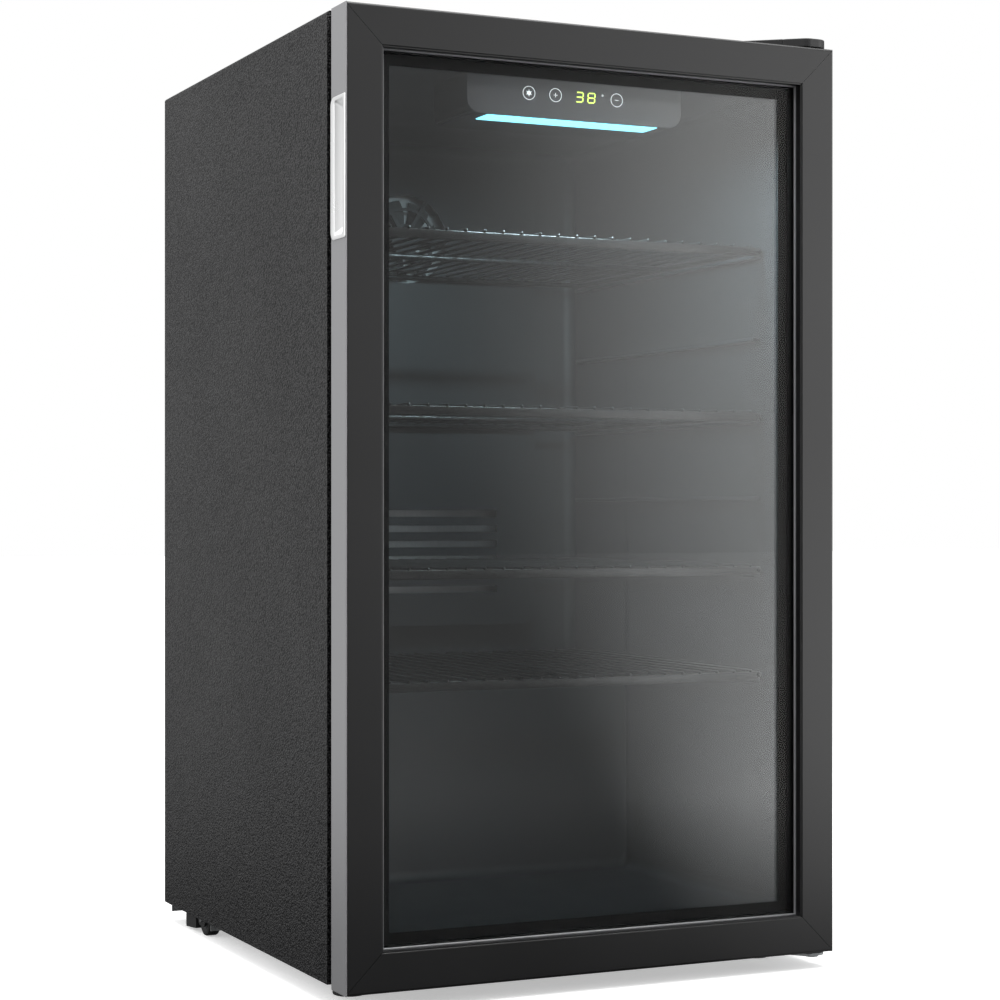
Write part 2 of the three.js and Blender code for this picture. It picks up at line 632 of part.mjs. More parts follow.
function buildMachineBay() {
  const front = BAY_FRONT + GAP;
  const back = CABINET_DEPTH - TRAY_SETFORWARD;
  const half = HALF - TRAY_INSET;
  const rollerY = CABINET_DEPTH - ROLLER_SETFORWARD;
  const tray = join([
    box(-half, half, front, back, GAP, GAP + TRAY_SHEET),
    box(-half, half, front, front + TRAY_SHEET, -TRAY_FLANGE, GAP + TRAY_SHEET),
    box(-half, half, back - TRAY_SHEET, back, -TRAY_FLANGE, GAP + TRAY_SHEET),
  ]);
  const slots = [-1, 1].map((side) => {
    const x = side * (HALF - ROLLER_INSET);
    const slotHalf = ROLLER_WIDTH / 2 + CHEEK + 3;
    return box(x - slotHalf, x + slotHalf, rollerY - ROLLER_RADIUS - 4, rollerY + BRACKET_REAR + 2, -1, 3);
  });
  add(cabinet, 'compressor_tray', cut(tray, slots), 'zinc');

  const middle = (front + back) / 2;
  const offset = COMPRESSOR_OFFSET;
  const floor = TRAY_SHEET + 2 * GAP;
  const base = floor + GROMMET_HEIGHT - 4 + GAP;
  const r = COMPRESSOR_RADIUS;
  const h = COMPRESSOR_HEIGHT;
  const dome = turned([
    [0, 0], [r * 0.62, 0], [r * 0.9, 9], [r - 2, 24], [r - 2, h * 0.56], [r + WELD_FLANGE, h * 0.56],
    [r + WELD_FLANGE, h * 0.56 + 4],
    [r - 2, h * 0.56 + 4], [r - 4, h - 26], [r * 0.82, h - 10], [r * 0.5, h - 2], [0, h],
  ], 20);
  const legs = bar('z', rectangle(-STUD_X - 12, STUD_X + 12, -STUD_Y - 10, STUD_Y + 10, 10), 0, 3);
  const posts = [[-1, -1], [1, -1], [1, 1], [-1, 1]].map(([sx, sy]) => {
    return rod('z', [sx * STUD_X, sy * STUD_Y], floor - base, 1, GROMMET_RADIUS, 12);
  });
  const body = join([dome, legs, ...posts]);
  add(cabinet, 'compressor', body, 'machine_black', [offset, middle, base]);
  const relayX = offset + r + WELD_FLANGE + GAP;
  const relaySection = rectangle(relayX, relayX + RELAY_WIDTH, middle - RELAY_DEPTH / 2,
    middle + RELAY_DEPTH / 2, 5);
  const relay = bar('z', relaySection, base + RELAY_BASE, base + RELAY_BASE + RELAY_HEIGHT);
  add(cabinet, 'relay_cover', relay, 'dark_plastic');

  const panBase = base + h + GAP;
  const dish = (inset, from, to) => {
    const [a, b] = [PAN_WIDTH / 2 - inset, PAN_DEPTH / 2 - inset];
    return bar('z', rectangle(offset - a, offset + a, middle - b, middle + b, 12 - inset), from, to);
  };
  const pan = cut(dish(0, panBase, panBase + PAN_HEIGHT),
    [dish(PAN_WALL, panBase + PAN_WALL, panBase + PAN_HEIGHT + 1)]);
  add(cabinet, 'drip_pan', pan, 'dark_plastic');

  const drier = turned([[0, 0], [2.5, 0], [3, 8], [9, 16], [9, 76], [3, 84], [2.5, 92], [0, 92]], 16);
  add(cabinet, 'filter_drier', drier, 'copper', [DRIER_X, middle, DRIER_BASE]);
  const pipeY = middle - 6;
  const discharge = pipe([
    [offset + r + 40, pipeY, base + 12], [60, pipeY, base + 12], [100, pipeY, base + 6],
    [DRIER_X - 20, middle, DRIER_BASE - 14], [DRIER_X, middle, DRIER_BASE - 10],
    [DRIER_X, middle, DRIER_BASE - 0.5],
  ], PIPE_RADIUS, 20);
  add(cabinet, 'discharge_pipe', discharge, 'copper');
  const riserX = offset - r - 44;
  const suction = pipe([
    [offset - r + 2 - GAP, middle, base + 60], [riserX + 18, middle, base + 60], [riserX, middle, base + 80],
    [riserX, middle, BAY_TOP - 30], [riserX, middle, BAY_TOP - 6],
  ], PIPE_RADIUS, 14);
  add(cabinet, 'suction_pipe', suction, 'copper');

  const coverBase = BAY_COVER_BASE;
  const coverHalf = SHELL_INSIDE - GAP;
  const panelBack = back + GAP + BAY_COVER_SHEET;
  const panel = box(-coverHalf, coverHalf, back + GAP, panelBack, coverBase, BAY_TOP - GAP);
  const vents = [];
  for (let index = 0; index < COVER_SLOTS; index += 1) {
    const x = -coverHalf + 60 + (index * (2 * coverHalf - 120)) / (COVER_SLOTS - 1);
    vents.push(box(x - 4, x + 4, back, panelBack + 1, coverBase + 40, BAY_TOP - 29));
  }
  const glandX = coverHalf - GLAND_INSET;
  const glandZ = coverBase + GLAND_RISE;
  const glandHole = rod('y', [glandX, glandZ], back, panelBack + 1, GLAND_RADIUS + GAP, 20);
  add(cabinet, 'bay_cover', cut(panel, [...vents, glandHole]), 'coated_steel');

  const glandBack = panelBack + GLAND_COLLAR;
  const gland = cut(join([
    rod('y', [glandX, glandZ], back - 6, glandBack, GLAND_RADIUS, 20),
    rod('y', [glandX, glandZ], panelBack + GAP, glandBack, GLAND_RADIUS + GLAND_COLLAR, 20),
  ]), [rod('y', [glandX, glandZ], back - 7, glandBack + 1, GLAND_BORE, 16)]);
  add(cabinet, 'cord_gland', gland, 'dark_plastic');
}

function buildRunningGear() {
  const stud = FLOOR_DROP + FLOOR_WALL - LINER - 6;
  const foot = turned([
    [0, 0], [FOOT_RADIUS - 1, 0], [FOOT_RADIUS, 1], [FOOT_RADIUS, FOOT_PAD - 2],
    [FOOT_RADIUS - 3, FOOT_PAD], [FOOT_STUD, FOOT_PAD], [FOOT_STUD, stud], [0, stud],
  ], 18);
  [['foot_left', -1], ['foot_right', 1]].forEach(([name, side]) => {
    add(cabinet, name, foot, 'dark_plastic', [side * (HALF - FOOT_INSET), FOOT_SETBACK, -FLOOR_DROP]);
  });

  const rollerY = CABINET_DEPTH - ROLLER_SETFORWARD;
  const axleZ = ROLLER_RADIUS - FLOOR_DROP;
  const cheekGap = ROLLER_WIDTH / 2 + 1;
  const cheek = CHEEK;
  const trayTop = TRAY_SHEET + 2 * GAP;
  const housingTop = axleZ + ROLLER_RADIUS + 3;
  const wheel = turned([
    [AXLE_RADIUS + GAP, -ROLLER_WIDTH / 2], [ROLLER_RADIUS - 1.5, -ROLLER_WIDTH / 2],
    [ROLLER_RADIUS, -ROLLER_WIDTH / 2 + 1.5], [ROLLER_RADIUS, ROLLER_WIDTH / 2 - 1.5],
    [ROLLER_RADIUS - 1.5, ROLLER_WIDTH / 2], [AXLE_RADIUS + GAP, ROLLER_WIDTH / 2],
    [AXLE_RADIUS + GAP, -ROLLER_WIDTH / 2],
  ], 24).rotate([0, 90, 0]);
  [['left', -1], ['right', 1]].forEach(([name, side]) => {
    const x = side * (HALF - ROLLER_INSET);
    const place = [x, rollerY, axleZ];
    add(cabinet, `roller_${name}`, wheel, 'rubber', place);
    const reach = cheekGap + cheek;
    const lowest = -FLOOR_DROP + BRACKET_GROUND - axleZ;
    const wing = ROLLER_RADIUS + BRACKET_WING;
    const trayZ = trayTop - axleZ;
    const cheeks = [-1, 1].map((face) => {
      const inner = Math.min(face * cheekGap, face * reach);
      return bar('x', [
        [-8, -6, 4], [8, -6, 4], [14, trayZ], [wing, trayZ], [wing, trayZ + 3], [14, housingTop - axleZ, 4],
        [-14, housingTop - axleZ, 4], [-wing, trayZ + 3], [-wing, trayZ], [-14, trayZ],
      ], inner, inner + cheek);
    });
    const roof = box(-reach, reach, -12, 12, housingTop - axleZ - 2, housingTop - axleZ);
    const rear = bar('x', [
      [ROLLER_RADIUS + 2, lowest + 3], [BRACKET_REAR, lowest, 2],
      [BRACKET_REAR, trayZ - 0.6], [wing, trayZ - 0.6],
      [wing, trayZ + 3], [ROLLER_RADIUS + 2, trayZ + 3],
    ], -reach, reach);
    const frontTie = box(-reach, reach, -wing, -ROLLER_RADIUS - 4.2, trayZ, trayZ + 3);
    const bore = rod('x', [0, 0], -reach - 1, reach + 1, AXLE_RADIUS + GAP, 16);
    const bracket = cut(join([...cheeks, roof, rear, frontTie]), [bore]);
    add(cabinet, `roller_bracket_${name}`, bracket, 'dark_plastic', place);
    const axle = rod('x', [0, 0], -reach - 1.5, reach + 1.5, AXLE_RADIUS, 16);
    add(cabinet, `roller_axle_${name}`, axle, 'zinc', place);
  });
}

function buildHinges() {
  const top = CABINET_HEIGHT;
  const plateBase = top + BUSH_FLANGE + 2 * GAP;
  const plateTop = plateBase + BRACKET_PLATE;
  const inner = coverOutline(COVER_WALL + 1);
  const pinHole = rod('z', [PIN_X, PIN_Y], plateBase - 1, plateTop + 1, PIN_RADIUS + GAP, 16);
  const screwHoles = SCREW_PLACES.map(([x, y]) => {
    return rod('z', [x, y], top - 1, plateTop + 1, HINGE_SCREW_RADIUS + GAP, 12);
  });
  const plate = bar('z', inner, plateBase, plateTop);
  const pad = box(HALF - COVER_REACH + 12, HALF - 10, 14, COVER_BACK - 8, top + GAP, plateBase + 1);
  add(cabinet, 'hinge_bracket_top', cut(join([plate, pad]), [pinHole, ...screwHoles]), 'zinc');

  const pinTop = plateTop + 2;
  const pin = join([
    rod('z', [PIN_X, PIN_Y], top - BUSH_LENGTH + 2, pinTop, PIN_RADIUS, 16),
    rod('z', [PIN_X, PIN_Y], plateTop + GAP, pinTop, PIN_RADIUS + 2, 16),
  ]);
  add(cabinet, 'hinge_pin_top', pin, 'zinc');

  SCREW_PLACES.forEach(([x, y], index) => {
    const screw = join([
      rod('z', [x, y], top - 12, plateTop + 2, HINGE_SCREW_RADIUS, 12),
      rod('z', [x, y], plateTop + GAP, plateTop + 2.2, HINGE_SCREW_HEAD, 12),
    ]);
    add(cabinet, `hinge_screw_${index + 1}`, screw, 'zinc');
  });

  const coverTop = top + COVER_HEIGHT;
  const skirt = bar('z', coverOutline(0), plateBase, coverTop, 6);
  const cabinetSkirt = cut(bar('z', coverOutline(0), top + GAP, coverTop - 1, 6),
    [box(0, WIDTH, -CABINET_DEPTH, 2, 0, coverTop + 1)]);
  const room = bar('z', coverOutline(COVER_WALL), top - 1, coverTop - COVER_WALL, 6);
  const whole = cut(join([skirt, cabinetSkirt]), [room]);
  const seam = PIN_Y + 3;
  const ahead = box(0, WIDTH, -CABINET_DEPTH, seam, top - 1, coverTop + 1);
  const behind = box(0, WIDTH, seam - GAP, CABINET_DEPTH, top - 1, coverTop + 1);
  add(cabinet, 'hinge_cover', cut(whole, [ahead]), 'dark_plastic');
  add(cabinet, 'hinge_cover_cap', cut(whole, [behind]), 'dark_plastic');

  const doorBase = -CABINET_LIFT;
  const lowTop = doorBase - BUSH_FLANGE - 2 * GAP;
  const lowPlate = bar('z', [
    [HALF - 3, 60, 3], [HALF - 60, 60, 3], [HALF - 60, 8, 6], [PIN_X - 10, PIN_Y - 10, 8],
    [HALF - 3, PIN_Y - 10, 8],
  ], lowTop - BRACKET_PLATE, lowTop);
  const riser = box(HALF - 56, HALF - 8, 6, 56, lowTop - 1, -GAP);
  const footRoom = rod('z', [HALF - FOOT_INSET, FOOT_SETBACK], -FLOOR_DROP, 1, FOOT_STUD + 1, 16);
  const lowHole = rod('z', [PIN_X, PIN_Y], -FLOOR_DROP, 1, PIN_RADIUS + GAP, 16);
  add(cabinet, 'hinge_bracket_bottom', cut(join([lowPlate, riser]), [footRoom, lowHole]), 'zinc');
  const lowPin = join([
    rod('z', [PIN_X, PIN_Y], lowTop - BRACKET_PLATE - 2, doorBase + BUSH_LENGTH - 2, PIN_RADIUS, 16),
    rod('z', [PIN_X, PIN_Y], lowTop - BRACKET_PLATE - 2, lowTop - BRACKET_PLATE - GAP, PIN_RADIUS + 2, 16),
  ]);
  add(cabinet, 'hinge_pin_bottom', lowPin, 'zinc');
}

function buildShelves() {
  const half = INNER_HALF - SHELF_SIDE_GAP;
  const depth = LINER_BACK - DUCT_DEPTH - SHELF_SETBACK - 6;
  const edge = SHELF_BAR_THICKNESS / 2;
  const barTop = SHELF_ROD - 0.2;
  const wireZ = barTop + WIRE_RADIUS - WIRE_SINK;
  const pieces = [
    box(-half, half, -edge, edge, barTop - SHELF_BAR_HEIGHT, barTop),
    rod('x', [depth, 0], -half, half, barTop, 6),
    rod('x', [depth / 2, 0], -half, half, barTop, 6),
    rod('y', [-half, 0], -edge, depth, SHELF_ROD, 8),
    rod('y', [half, 0], -edge, depth, SHELF_ROD, 8),
  ];
  const count = Math.floor((2 * half - 16) / WIRE_PITCH);
  for (let index = 0; index <= count; index += 1) {
    const x = (index - count / 2) * WIRE_PITCH;
    pieces.push(rod('y', [x, wireZ], -edge - WIRE_OVERHANG, depth + WIRE_OVERHANG, WIRE_RADIUS, 4));
  }
  const shelf = join(pieces);
  SHELF_LEVELS.forEach((level, index) => {
    add(cabinet, `shelf_${SHELF_LEVELS.length - index}`, shelf, 'wire', [0, SHELF_SETBACK, level]);
  });
}

// ---------------------------------------------------------------- door

const door = new THREE.Group();
door.position.set(0, -DEPTH / 2, GROUND_CLEARANCE);

const PULL_TOP = DOOR_HEIGHT - PULL_TOP_DROP;
const PULL_BASE = PULL_TOP - PULL_LENGTH;
const TRIM_OUTSIDE = -HALF + PULL_PLATE + GAP;
const TRIM_INSIDE = TRIM_OUTSIDE + TRIM_THICKNESS + GAP;
const CUP_FRONT = PULL_FRONT_LIP - PULL_WALL;
const CUP_BACK = FRAME_BODY_DEPTH - GAP;

/** Section of a frame member as [distance from the outer edge, depth] corners. */
function memberSection() {
  return [
    [0, 0, FRAME_EDGE_RADIUS], [FRAME_FACE - LIP_STEP, 0, 0.6], [FRAME_FACE - LIP_STEP, LIP_STEP],
    [FRAME_FACE, LIP_STEP], [FRAME_FACE, LIP_DEPTH], [FRAME_BODY, LIP_DEPTH],
    [FRAME_BODY, FRAME_BODY_DEPTH], [0, FRAME_BODY_DEPTH],
  ];
}

function buildDoorFrame() {
  const reach = FRAME_FACE + 1;
  const g = MITRE_GAP;
  const across = (edge, inner) => [
    [-HALF + g, edge], [HALF - g, edge], [HALF - g - reach, inner], [-HALF + g + reach, inner],
  ];
  const upright = (side) => [
    [side * HALF, g], [side * HALF, DOOR_HEIGHT - g],
    [side * (HALF - reach), DOOR_HEIGHT - g - reach], [side * (HALF - reach), g + reach],
  ];
  const bushes = [0, DOOR_HEIGHT].map((z) => {
    const half = BUSH_LENGTH + GAP;
    return rod('z', [PIN_X, PIN_SETBACK], z - half, z + half, BUSH_RADIUS + GAP, 20);
  });
  const trimRoom = box(-HALF - 1, TRIM_INSIDE, -1, DOOR_DEPTH + 1, -1, DOOR_HEIGHT + 1);
  const pullRoom = box(-HALF, -HALF + PULL_RECESS + GAP, CUP_FRONT - GAP, DOOR_DEPTH,
    PULL_BASE + CUP_INSET - GAP, PULL_TOP - CUP_INSET + GAP);
  const placed = (turn) => memberSection().map(([u, s, r]) => [...turn(u, s), r]);
  const members = [
    ['door_frame_top', placed((u, s) => [s, DOOR_HEIGHT - u]), 'x', across(DOOR_HEIGHT, DOOR_HEIGHT - reach)],
    ['door_frame_bottom', placed((u, s) => [s, u]), 'x', across(0, reach)],
    ['door_frame_left', placed((u, s) => [-HALF + u, s]), 'z', upright(-1)],
    ['door_frame_right', placed((u, s) => [HALF - u, s]), 'z', upright(1)],
  ];
  members.forEach(([name, section, axis, mitre]) => {
    const length = axis === 'x' ? [-HALF, HALF] : [0, DOOR_HEIGHT];
    const profile = bar(axis, section, ...length);
    const room = bar('y', mitre, -1, DOOR_DEPTH);
    const member = cut(profile.intersect(room), [trimRoom, pullRoom, ...bushes]);
    add(door, name, member, 'door_profile');
  });

  const bush = turned([
    [PIN_RADIUS + GAP, 0], [BUSH_RADIUS, 0], [BUSH_RADIUS, BUSH_LENGTH], [BUSH_RADIUS + 3, BUSH_LENGTH],
    [BUSH_RADIUS + 3, BUSH_LENGTH + BUSH_FLANGE], [PIN_RADIUS + GAP, BUSH_LENGTH + BUSH_FLANGE],
    [PIN_RADIUS + GAP, 0],
  ], 20);
  const lift = GAP / 2;
  add(door, 'hinge_bush_top', bush, 'dark_plastic', [PIN_X, PIN_SETBACK, DOOR_HEIGHT - BUSH_LENGTH + lift]);
  add(door, 'hinge_bush_bottom', bush.rotate([180, 0, 0]), 'dark_plastic',
    [PIN_X, PIN_SETBACK, BUSH_LENGTH - lift]);
}

function buildSideTrim() {
  const strip = box(TRIM_OUTSIDE, TRIM_OUTSIDE + TRIM_THICKNESS, GAP, DOOR_DEPTH, 0, DOOR_HEIGHT);
  const cupHole = box(-HALF, 0, CUP_FRONT - GAP, CUP_BACK + GAP,
    PULL_BASE + CUP_INSET - GAP, PULL_TOP - CUP_INSET + GAP);
  add(door, 'side_trim', cut(strip, [cupHole]), 'grey_trim');
}

function buildPull() {
  const back = DOOR_DEPTH - GAP;
  const plate = bar('x', [
    [GAP, PULL_BASE, 1.5], [back, PULL_BASE, 7], [back, PULL_TOP, 7], [GAP, PULL_TOP, 1.5],
  ], -HALF, -HALF + PULL_PLATE);
  const low = PULL_BASE + CUP_INSET;
  const high = PULL_TOP - CUP_INSET;
  const cup = box(-HALF, -HALF + PULL_RECESS, CUP_FRONT, CUP_BACK, low, high);
  const depth = -HALF + PULL_RECESS - PULL_WALL;
  const mouth = [low + PULL_WALL, high - PULL_WALL];
  const scoop = bar('y', [
    [-HALF - 1, mouth[0]], [-HALF, mouth[0]], [depth, mouth[0] + PULL_END, 4],
    [depth, mouth[1] - PULL_END, 4], [-HALF, mouth[1]], [-HALF - 1, mouth[1]],
  ], CUP_FRONT + PULL_WALL, CUP_BACK - PULL_WALL);
  add(door, 'pull_handle', cut(join([plate, cup]), [scoop]), 'bright_metal');
}

/** Rectangular ring in the door's plane: insets from the door's edges, and depths from its front. */
function doorRing(outer, inner, from, to, left = 0) {
  const ring = bar('y', rectangle(-HALF + outer + left, HALF - outer, outer, DOOR_HEIGHT - outer), from, to);
  const hole = box(-HALF + inner, HALF - inner, from - 1, to + 1, inner, DOOR_HEIGHT - inner);
  return cut(ring, [hole]);
}

function buildGlazing() {
  const glassInset = FRAME_BODY + GAP;
  const pane = (from, to) => {
    return box(-HALF + glassInset, HALF - glassInset, from, to, glassInset, DOOR_HEIGHT - glassInset);
  };
  const frontFace = LIP_DEPTH + GAP;
  const spacerFront = frontFace + FRONT_GLASS + GAP;
  const spacerBack = spacerFront + SPACER_DEPTH;
  const rearFace = spacerBack + GAP;
  add(door, 'front_glass', pane(frontFace, frontFace + FRONT_GLASS), 'clear_glass');
  const sight = FRAME_FACE + SPACER_SIGHT;
  add(door, 'glass_spacer', doorRing(glassInset + 1, sight, spacerFront, spacerBack), 'dark_plastic');
  add(door, 'rear_glass', pane(rearFace, rearFace + REAR_GLASS), 'clear_glass');

  const innerFront = Math.max(FRAME_BODY_DEPTH, rearFace + REAR_GLASS) + GAP;
  const inner = FRAME_FACE + INNER_FRAME_SIGHT;
  const trimSide = TRIM_INSIDE + HALF - INNER_FRAME_INSET;
  const ring = doorRing(INNER_FRAME_INSET, inner, innerFront, DOOR_DEPTH, trimSide);
  const gasketEnd = GASKET_INSET + GASKET_WIDTH;
  const groove = doorRing(GASKET_INSET + 5, gasketEnd - 5, DOOR_DEPTH - 3, DOOR_DEPTH + 1);
  const pins = [0, DOOR_HEIGHT].map((z) => {
    const half = BUSH_LENGTH + 1;
    return rod('z', [PIN_X, PIN_SETBACK], z - half, z + half, BUSH_RADIUS + 3 + GAP, 20);
  });
  add(door, 'inner_frame', cut(ring, [groove, ...pins]), 'dark_plastic');

  const contact = DOOR_DEPTH + GASKET_GAP - GAP;
  const lip = doorRing(GASKET_INSET, gasketEnd, DOOR_DEPTH + GAP, contact);
  const waist = [
    doorRing(GASKET_INSET - 1, GASKET_INSET + 2, DOOR_DEPTH + 2.2, DOOR_DEPTH + 4),
    doorRing(gasketEnd - 2, gasketEnd + 1, DOOR_DEPTH + 2.2, DOOR_DEPTH + 4),
  ];
  add(door, 'gasket', cut(lip, waist), 'rubber');
}

// ---------------------------------------------------------------- assembly

buildShell();
buildBase();
buildLiner();
buildFoam();
buildControls();
buildDuct();
buildMachineBay();
buildRunningGear();
buildHinges();
buildShelves();
buildDoorFrame();
buildSideTrim();
buildPull();
buildGlazing();

const refrigerator = new THREE.Group();
refrigerator.add(cabinet, door);
export default refrigerator;
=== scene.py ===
"""A glass-door beverage fridge in a pale studio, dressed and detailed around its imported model."""

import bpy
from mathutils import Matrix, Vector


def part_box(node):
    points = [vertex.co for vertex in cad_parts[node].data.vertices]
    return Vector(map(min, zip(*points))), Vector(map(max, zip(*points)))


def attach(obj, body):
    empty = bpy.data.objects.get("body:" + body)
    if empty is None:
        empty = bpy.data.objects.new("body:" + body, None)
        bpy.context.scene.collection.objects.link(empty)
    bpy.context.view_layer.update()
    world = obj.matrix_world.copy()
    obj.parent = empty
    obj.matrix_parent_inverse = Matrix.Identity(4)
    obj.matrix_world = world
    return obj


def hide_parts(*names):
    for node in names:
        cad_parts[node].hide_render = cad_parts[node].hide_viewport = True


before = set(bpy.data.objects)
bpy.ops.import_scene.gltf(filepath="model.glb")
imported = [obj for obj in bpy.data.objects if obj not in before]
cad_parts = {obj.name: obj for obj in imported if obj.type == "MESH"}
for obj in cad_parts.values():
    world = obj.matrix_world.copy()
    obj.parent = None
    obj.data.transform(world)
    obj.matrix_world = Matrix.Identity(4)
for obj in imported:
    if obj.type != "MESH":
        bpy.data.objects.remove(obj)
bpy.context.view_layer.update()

import logging
import math
from dataclasses import dataclass
from enum import Enum
from typing import Callable

import bmesh
import bpy
from mathutils import Matrix, Vector

LOG = logging.getLogger("fridge")
MM = 0.001
PANE_CLEARANCE = 0.0001
Point2 = tuple[float, float]


# ------------------------------------------------------------------ colour and nodes


def linear(tone: str) -> tuple[float, float, float, float]:
    """Turn an sRGB hex tone into a linear colour.

    Args:
        tone: Six hex digits, with or without a leading hash.

    Returns:
        Red, green, blue and an alpha of one.
    """
    digits = tone.lstrip("#")
    channels = []
    for start in (0, 2, 4):
        value = int(digits[start:start + 2], 16) / 255
        low = value <= 0.04045
        channels.append(value / 12.92 if low else ((value + 0.055) / 1.055) ** 2.4)
    return (channels[0], channels[1], channels[2], 1.0)


def add_node(tree: bpy.types.NodeTree, kind: str, settings: dict,
             links: dict | None = None) -> bpy.types.Node:
    """Add one shader node with its settings and links.

    Args:
        tree: The node tree that takes the node.
        kind: Blender's name of the node's type.
        settings: Input names or indexes, or node attributes, with their values.
        links: Input names or indexes, with the output sockets that feed them.

    Returns:
        The new node.
    """
    node = tree.nodes.new(kind)
    for key, value in settings.items():
        if isinstance(key, str) and hasattr(node, key) and key not in node.inputs:
            setattr(node, key, value)
        else:
            node.inputs[key].default_value = value
    for key, socket in (links or {}).items():
        tree.links.new(socket, node.inputs[key])
    return node


# ------------------------------------------------------------------ finishes


class Grain(Enum):
    """How a surface's fine relief was made."""

    SMOOTH = "smooth"
    PEBBLE = "sprayed texture coat"
    SPARK = "spark-eroded mould"
    BRUSHED = "brushed or drawn"
    SPANGLE = "hot-dip zinc crystals"


COAT_ROUGHNESS = 0.12
# How much of the slow drift joins the grain in the colour, and the heights that the two colours lie at.
DRIFT_SHARE = 0.35
TONE_SPAN = {"From Min": 0.45, "From Max": 1.05}
# How strongly a pebble coat mirrors, from the pits between the beads to the tops of the domes.
PIT_MIRROR = {"From Min": 0.42, "From Max": 0.82, "To Min": 0.24, "To Max": 0.76}
# A brush draws its marks out fifty times as long as they are wide.
BRUSH_STRETCH = (1.0, 1.0, 0.02)


@dataclass(frozen=True)
class Finish:
    """An opaque finish: what the piece is made of and how its surface was made.

    Args:
        name: Common name of the material and its surface.
        slot: The record's material slot; not used.
        tone: Main colour as sRGB hex.
        second_tone: Colour that the main one drifts to.
        metallic: 0 for plastic, paint and rubber, 1 for bare metal.
        roughness: Mean roughness.
        swing: How far the roughness drifts either way.
        ior: Index of refraction of the plastic, paint or clear coat.
        grain: How the fine relief was made.
        grain_mm: Size of one grain.
        relief_mm: Height of the grain.
        drift_mm: Size of the slow changes in colour and gloss.
        coat: Weight of a clear top coat.
    """

    name: str
    slot: str
    tone: str
    second_tone: str
    metallic: float = 0.0
    roughness: float = 0.5
    swing: float = 0.06
    ior: float = 1.5
    grain: Grain = Grain.SPARK
    grain_mm: float = 0.6
    relief_mm: float = 0.03
    drift_mm: float = 80.0
    coat: float = 0.0

    def relief(self, tree: bpy.types.NodeTree, place: bpy.types.NodeSocket) -> bpy.types.NodeSocket:
        """Height of the grain over the surface.

        Args:
            tree: The material's node tree.
            place: Position in metres.

        Returns:
            The socket that carries the height, from 0 to 1.
        """
        scale = 1.0 / (self.grain_mm * MM)
        if self.grain is Grain.PEBBLE:
            beads = add_node(tree, "ShaderNodeTexVoronoi",
                             {"feature": "SMOOTH_F1", "Scale": scale, "Smoothness": 0.6}, {"Vector": place})
            domes = add_node(tree, "ShaderNodeMath", {"operation": "SUBTRACT", 0: 1.0},
                             {1: beads.outputs["Distance"]})
            return domes.outputs[0]
        if self.grain is Grain.SPANGLE:
            cells = add_node(tree, "ShaderNodeTexVoronoi", {"feature": "F1", "Scale": scale},
                             {"Vector": place})
            return cells.outputs["Color"]
        if self.grain is Grain.BRUSHED:
            stretched = add_node(tree, "ShaderNodeMapping", {"Scale": BRUSH_STRETCH}, {"Vector": place})
            place = stretched.outputs["Vector"]
        noise = add_node(tree, "ShaderNodeTexNoise", {"Scale": scale, "Detail": 3.0, "Roughness": 0.6},
                         {"Vector": place})
        return noise.outputs["Fac"]

    def material(self) -> bpy.types.Material:
        """Build the material once and hand it out again afterwards.

        Returns:
            The node-based material.
        """
        known = bpy.data.materials.get(self.name)
        if known:
            return known
        material = bpy.data.materials.new(self.name)
        material.use_nodes = True
        tree = material.node_tree
        shader = tree.nodes["Principled BSDF"]
        shader.inputs["Metallic"].default_value = self.metallic
        shader.inputs["IOR"].default_value = self.ior
        shader.inputs["Coat Weight"].default_value = self.coat
        shader.inputs["Coat Roughness"].default_value = COAT_ROUGHNESS
        place = add_node(tree, "ShaderNodeTexCoord", {}).outputs["Object"]
        drift = add_node(tree, "ShaderNodeTexNoise", {"Scale": 1.0 / (self.drift_mm * MM), "Detail": 4.0},
                         {"Vector": place})
        height = self.relief(tree, place) if self.grain is not Grain.SMOOTH else drift.outputs["Fac"]
        blend = add_node(tree, "ShaderNodeMath", {"operation": "MULTIPLY_ADD", 1: DRIFT_SHARE},
                         {0: drift.outputs["Fac"], 2: height})
        ramp = add_node(tree, "ShaderNodeMapRange", TONE_SPAN, {"Value": blend.outputs[0]})
        colour = add_node(tree, "ShaderNodeMix", {"data_type": "RGBA"}, {"Factor": ramp.outputs["Result"]})
        colour.inputs[6].default_value = linear(self.tone)
        colour.inputs[7].default_value = linear(self.second_tone)
        tree.links.new(colour.outputs[2], shader.inputs["Base Color"])
        gloss = add_node(tree, "ShaderNodeMapRange", {
            "From Min": 0.3, "From Max": 0.7,
            "To Min": max(0.02, self.roughness - self.swing), "To Max": min(1.0, self.roughness + self.swing),
        }, {"Value": drift.outputs["Fac"]})
        tree.links.new(gloss.outputs["Result"], shader.inputs["Roughness"])
        if self.relief_mm > 0:
            bump = add_node(tree, "ShaderNodeBump", {"Strength": 1.0, "Distance": self.relief_mm * MM},
                            {"Height": height})
            tree.links.new(bump.outputs["Normal"], shader.inputs["Normal"])
        if self.grain is Grain.PEBBLE:
            # The pits between the beads shade each other, so they mirror less than the domes.
            pits = add_node(tree, "ShaderNodeMapRange", PIT_MIRROR, {"Value": height})
            tree.links.new(pits.outputs["Result"], shader.inputs["Specular IOR Level"])
        return material


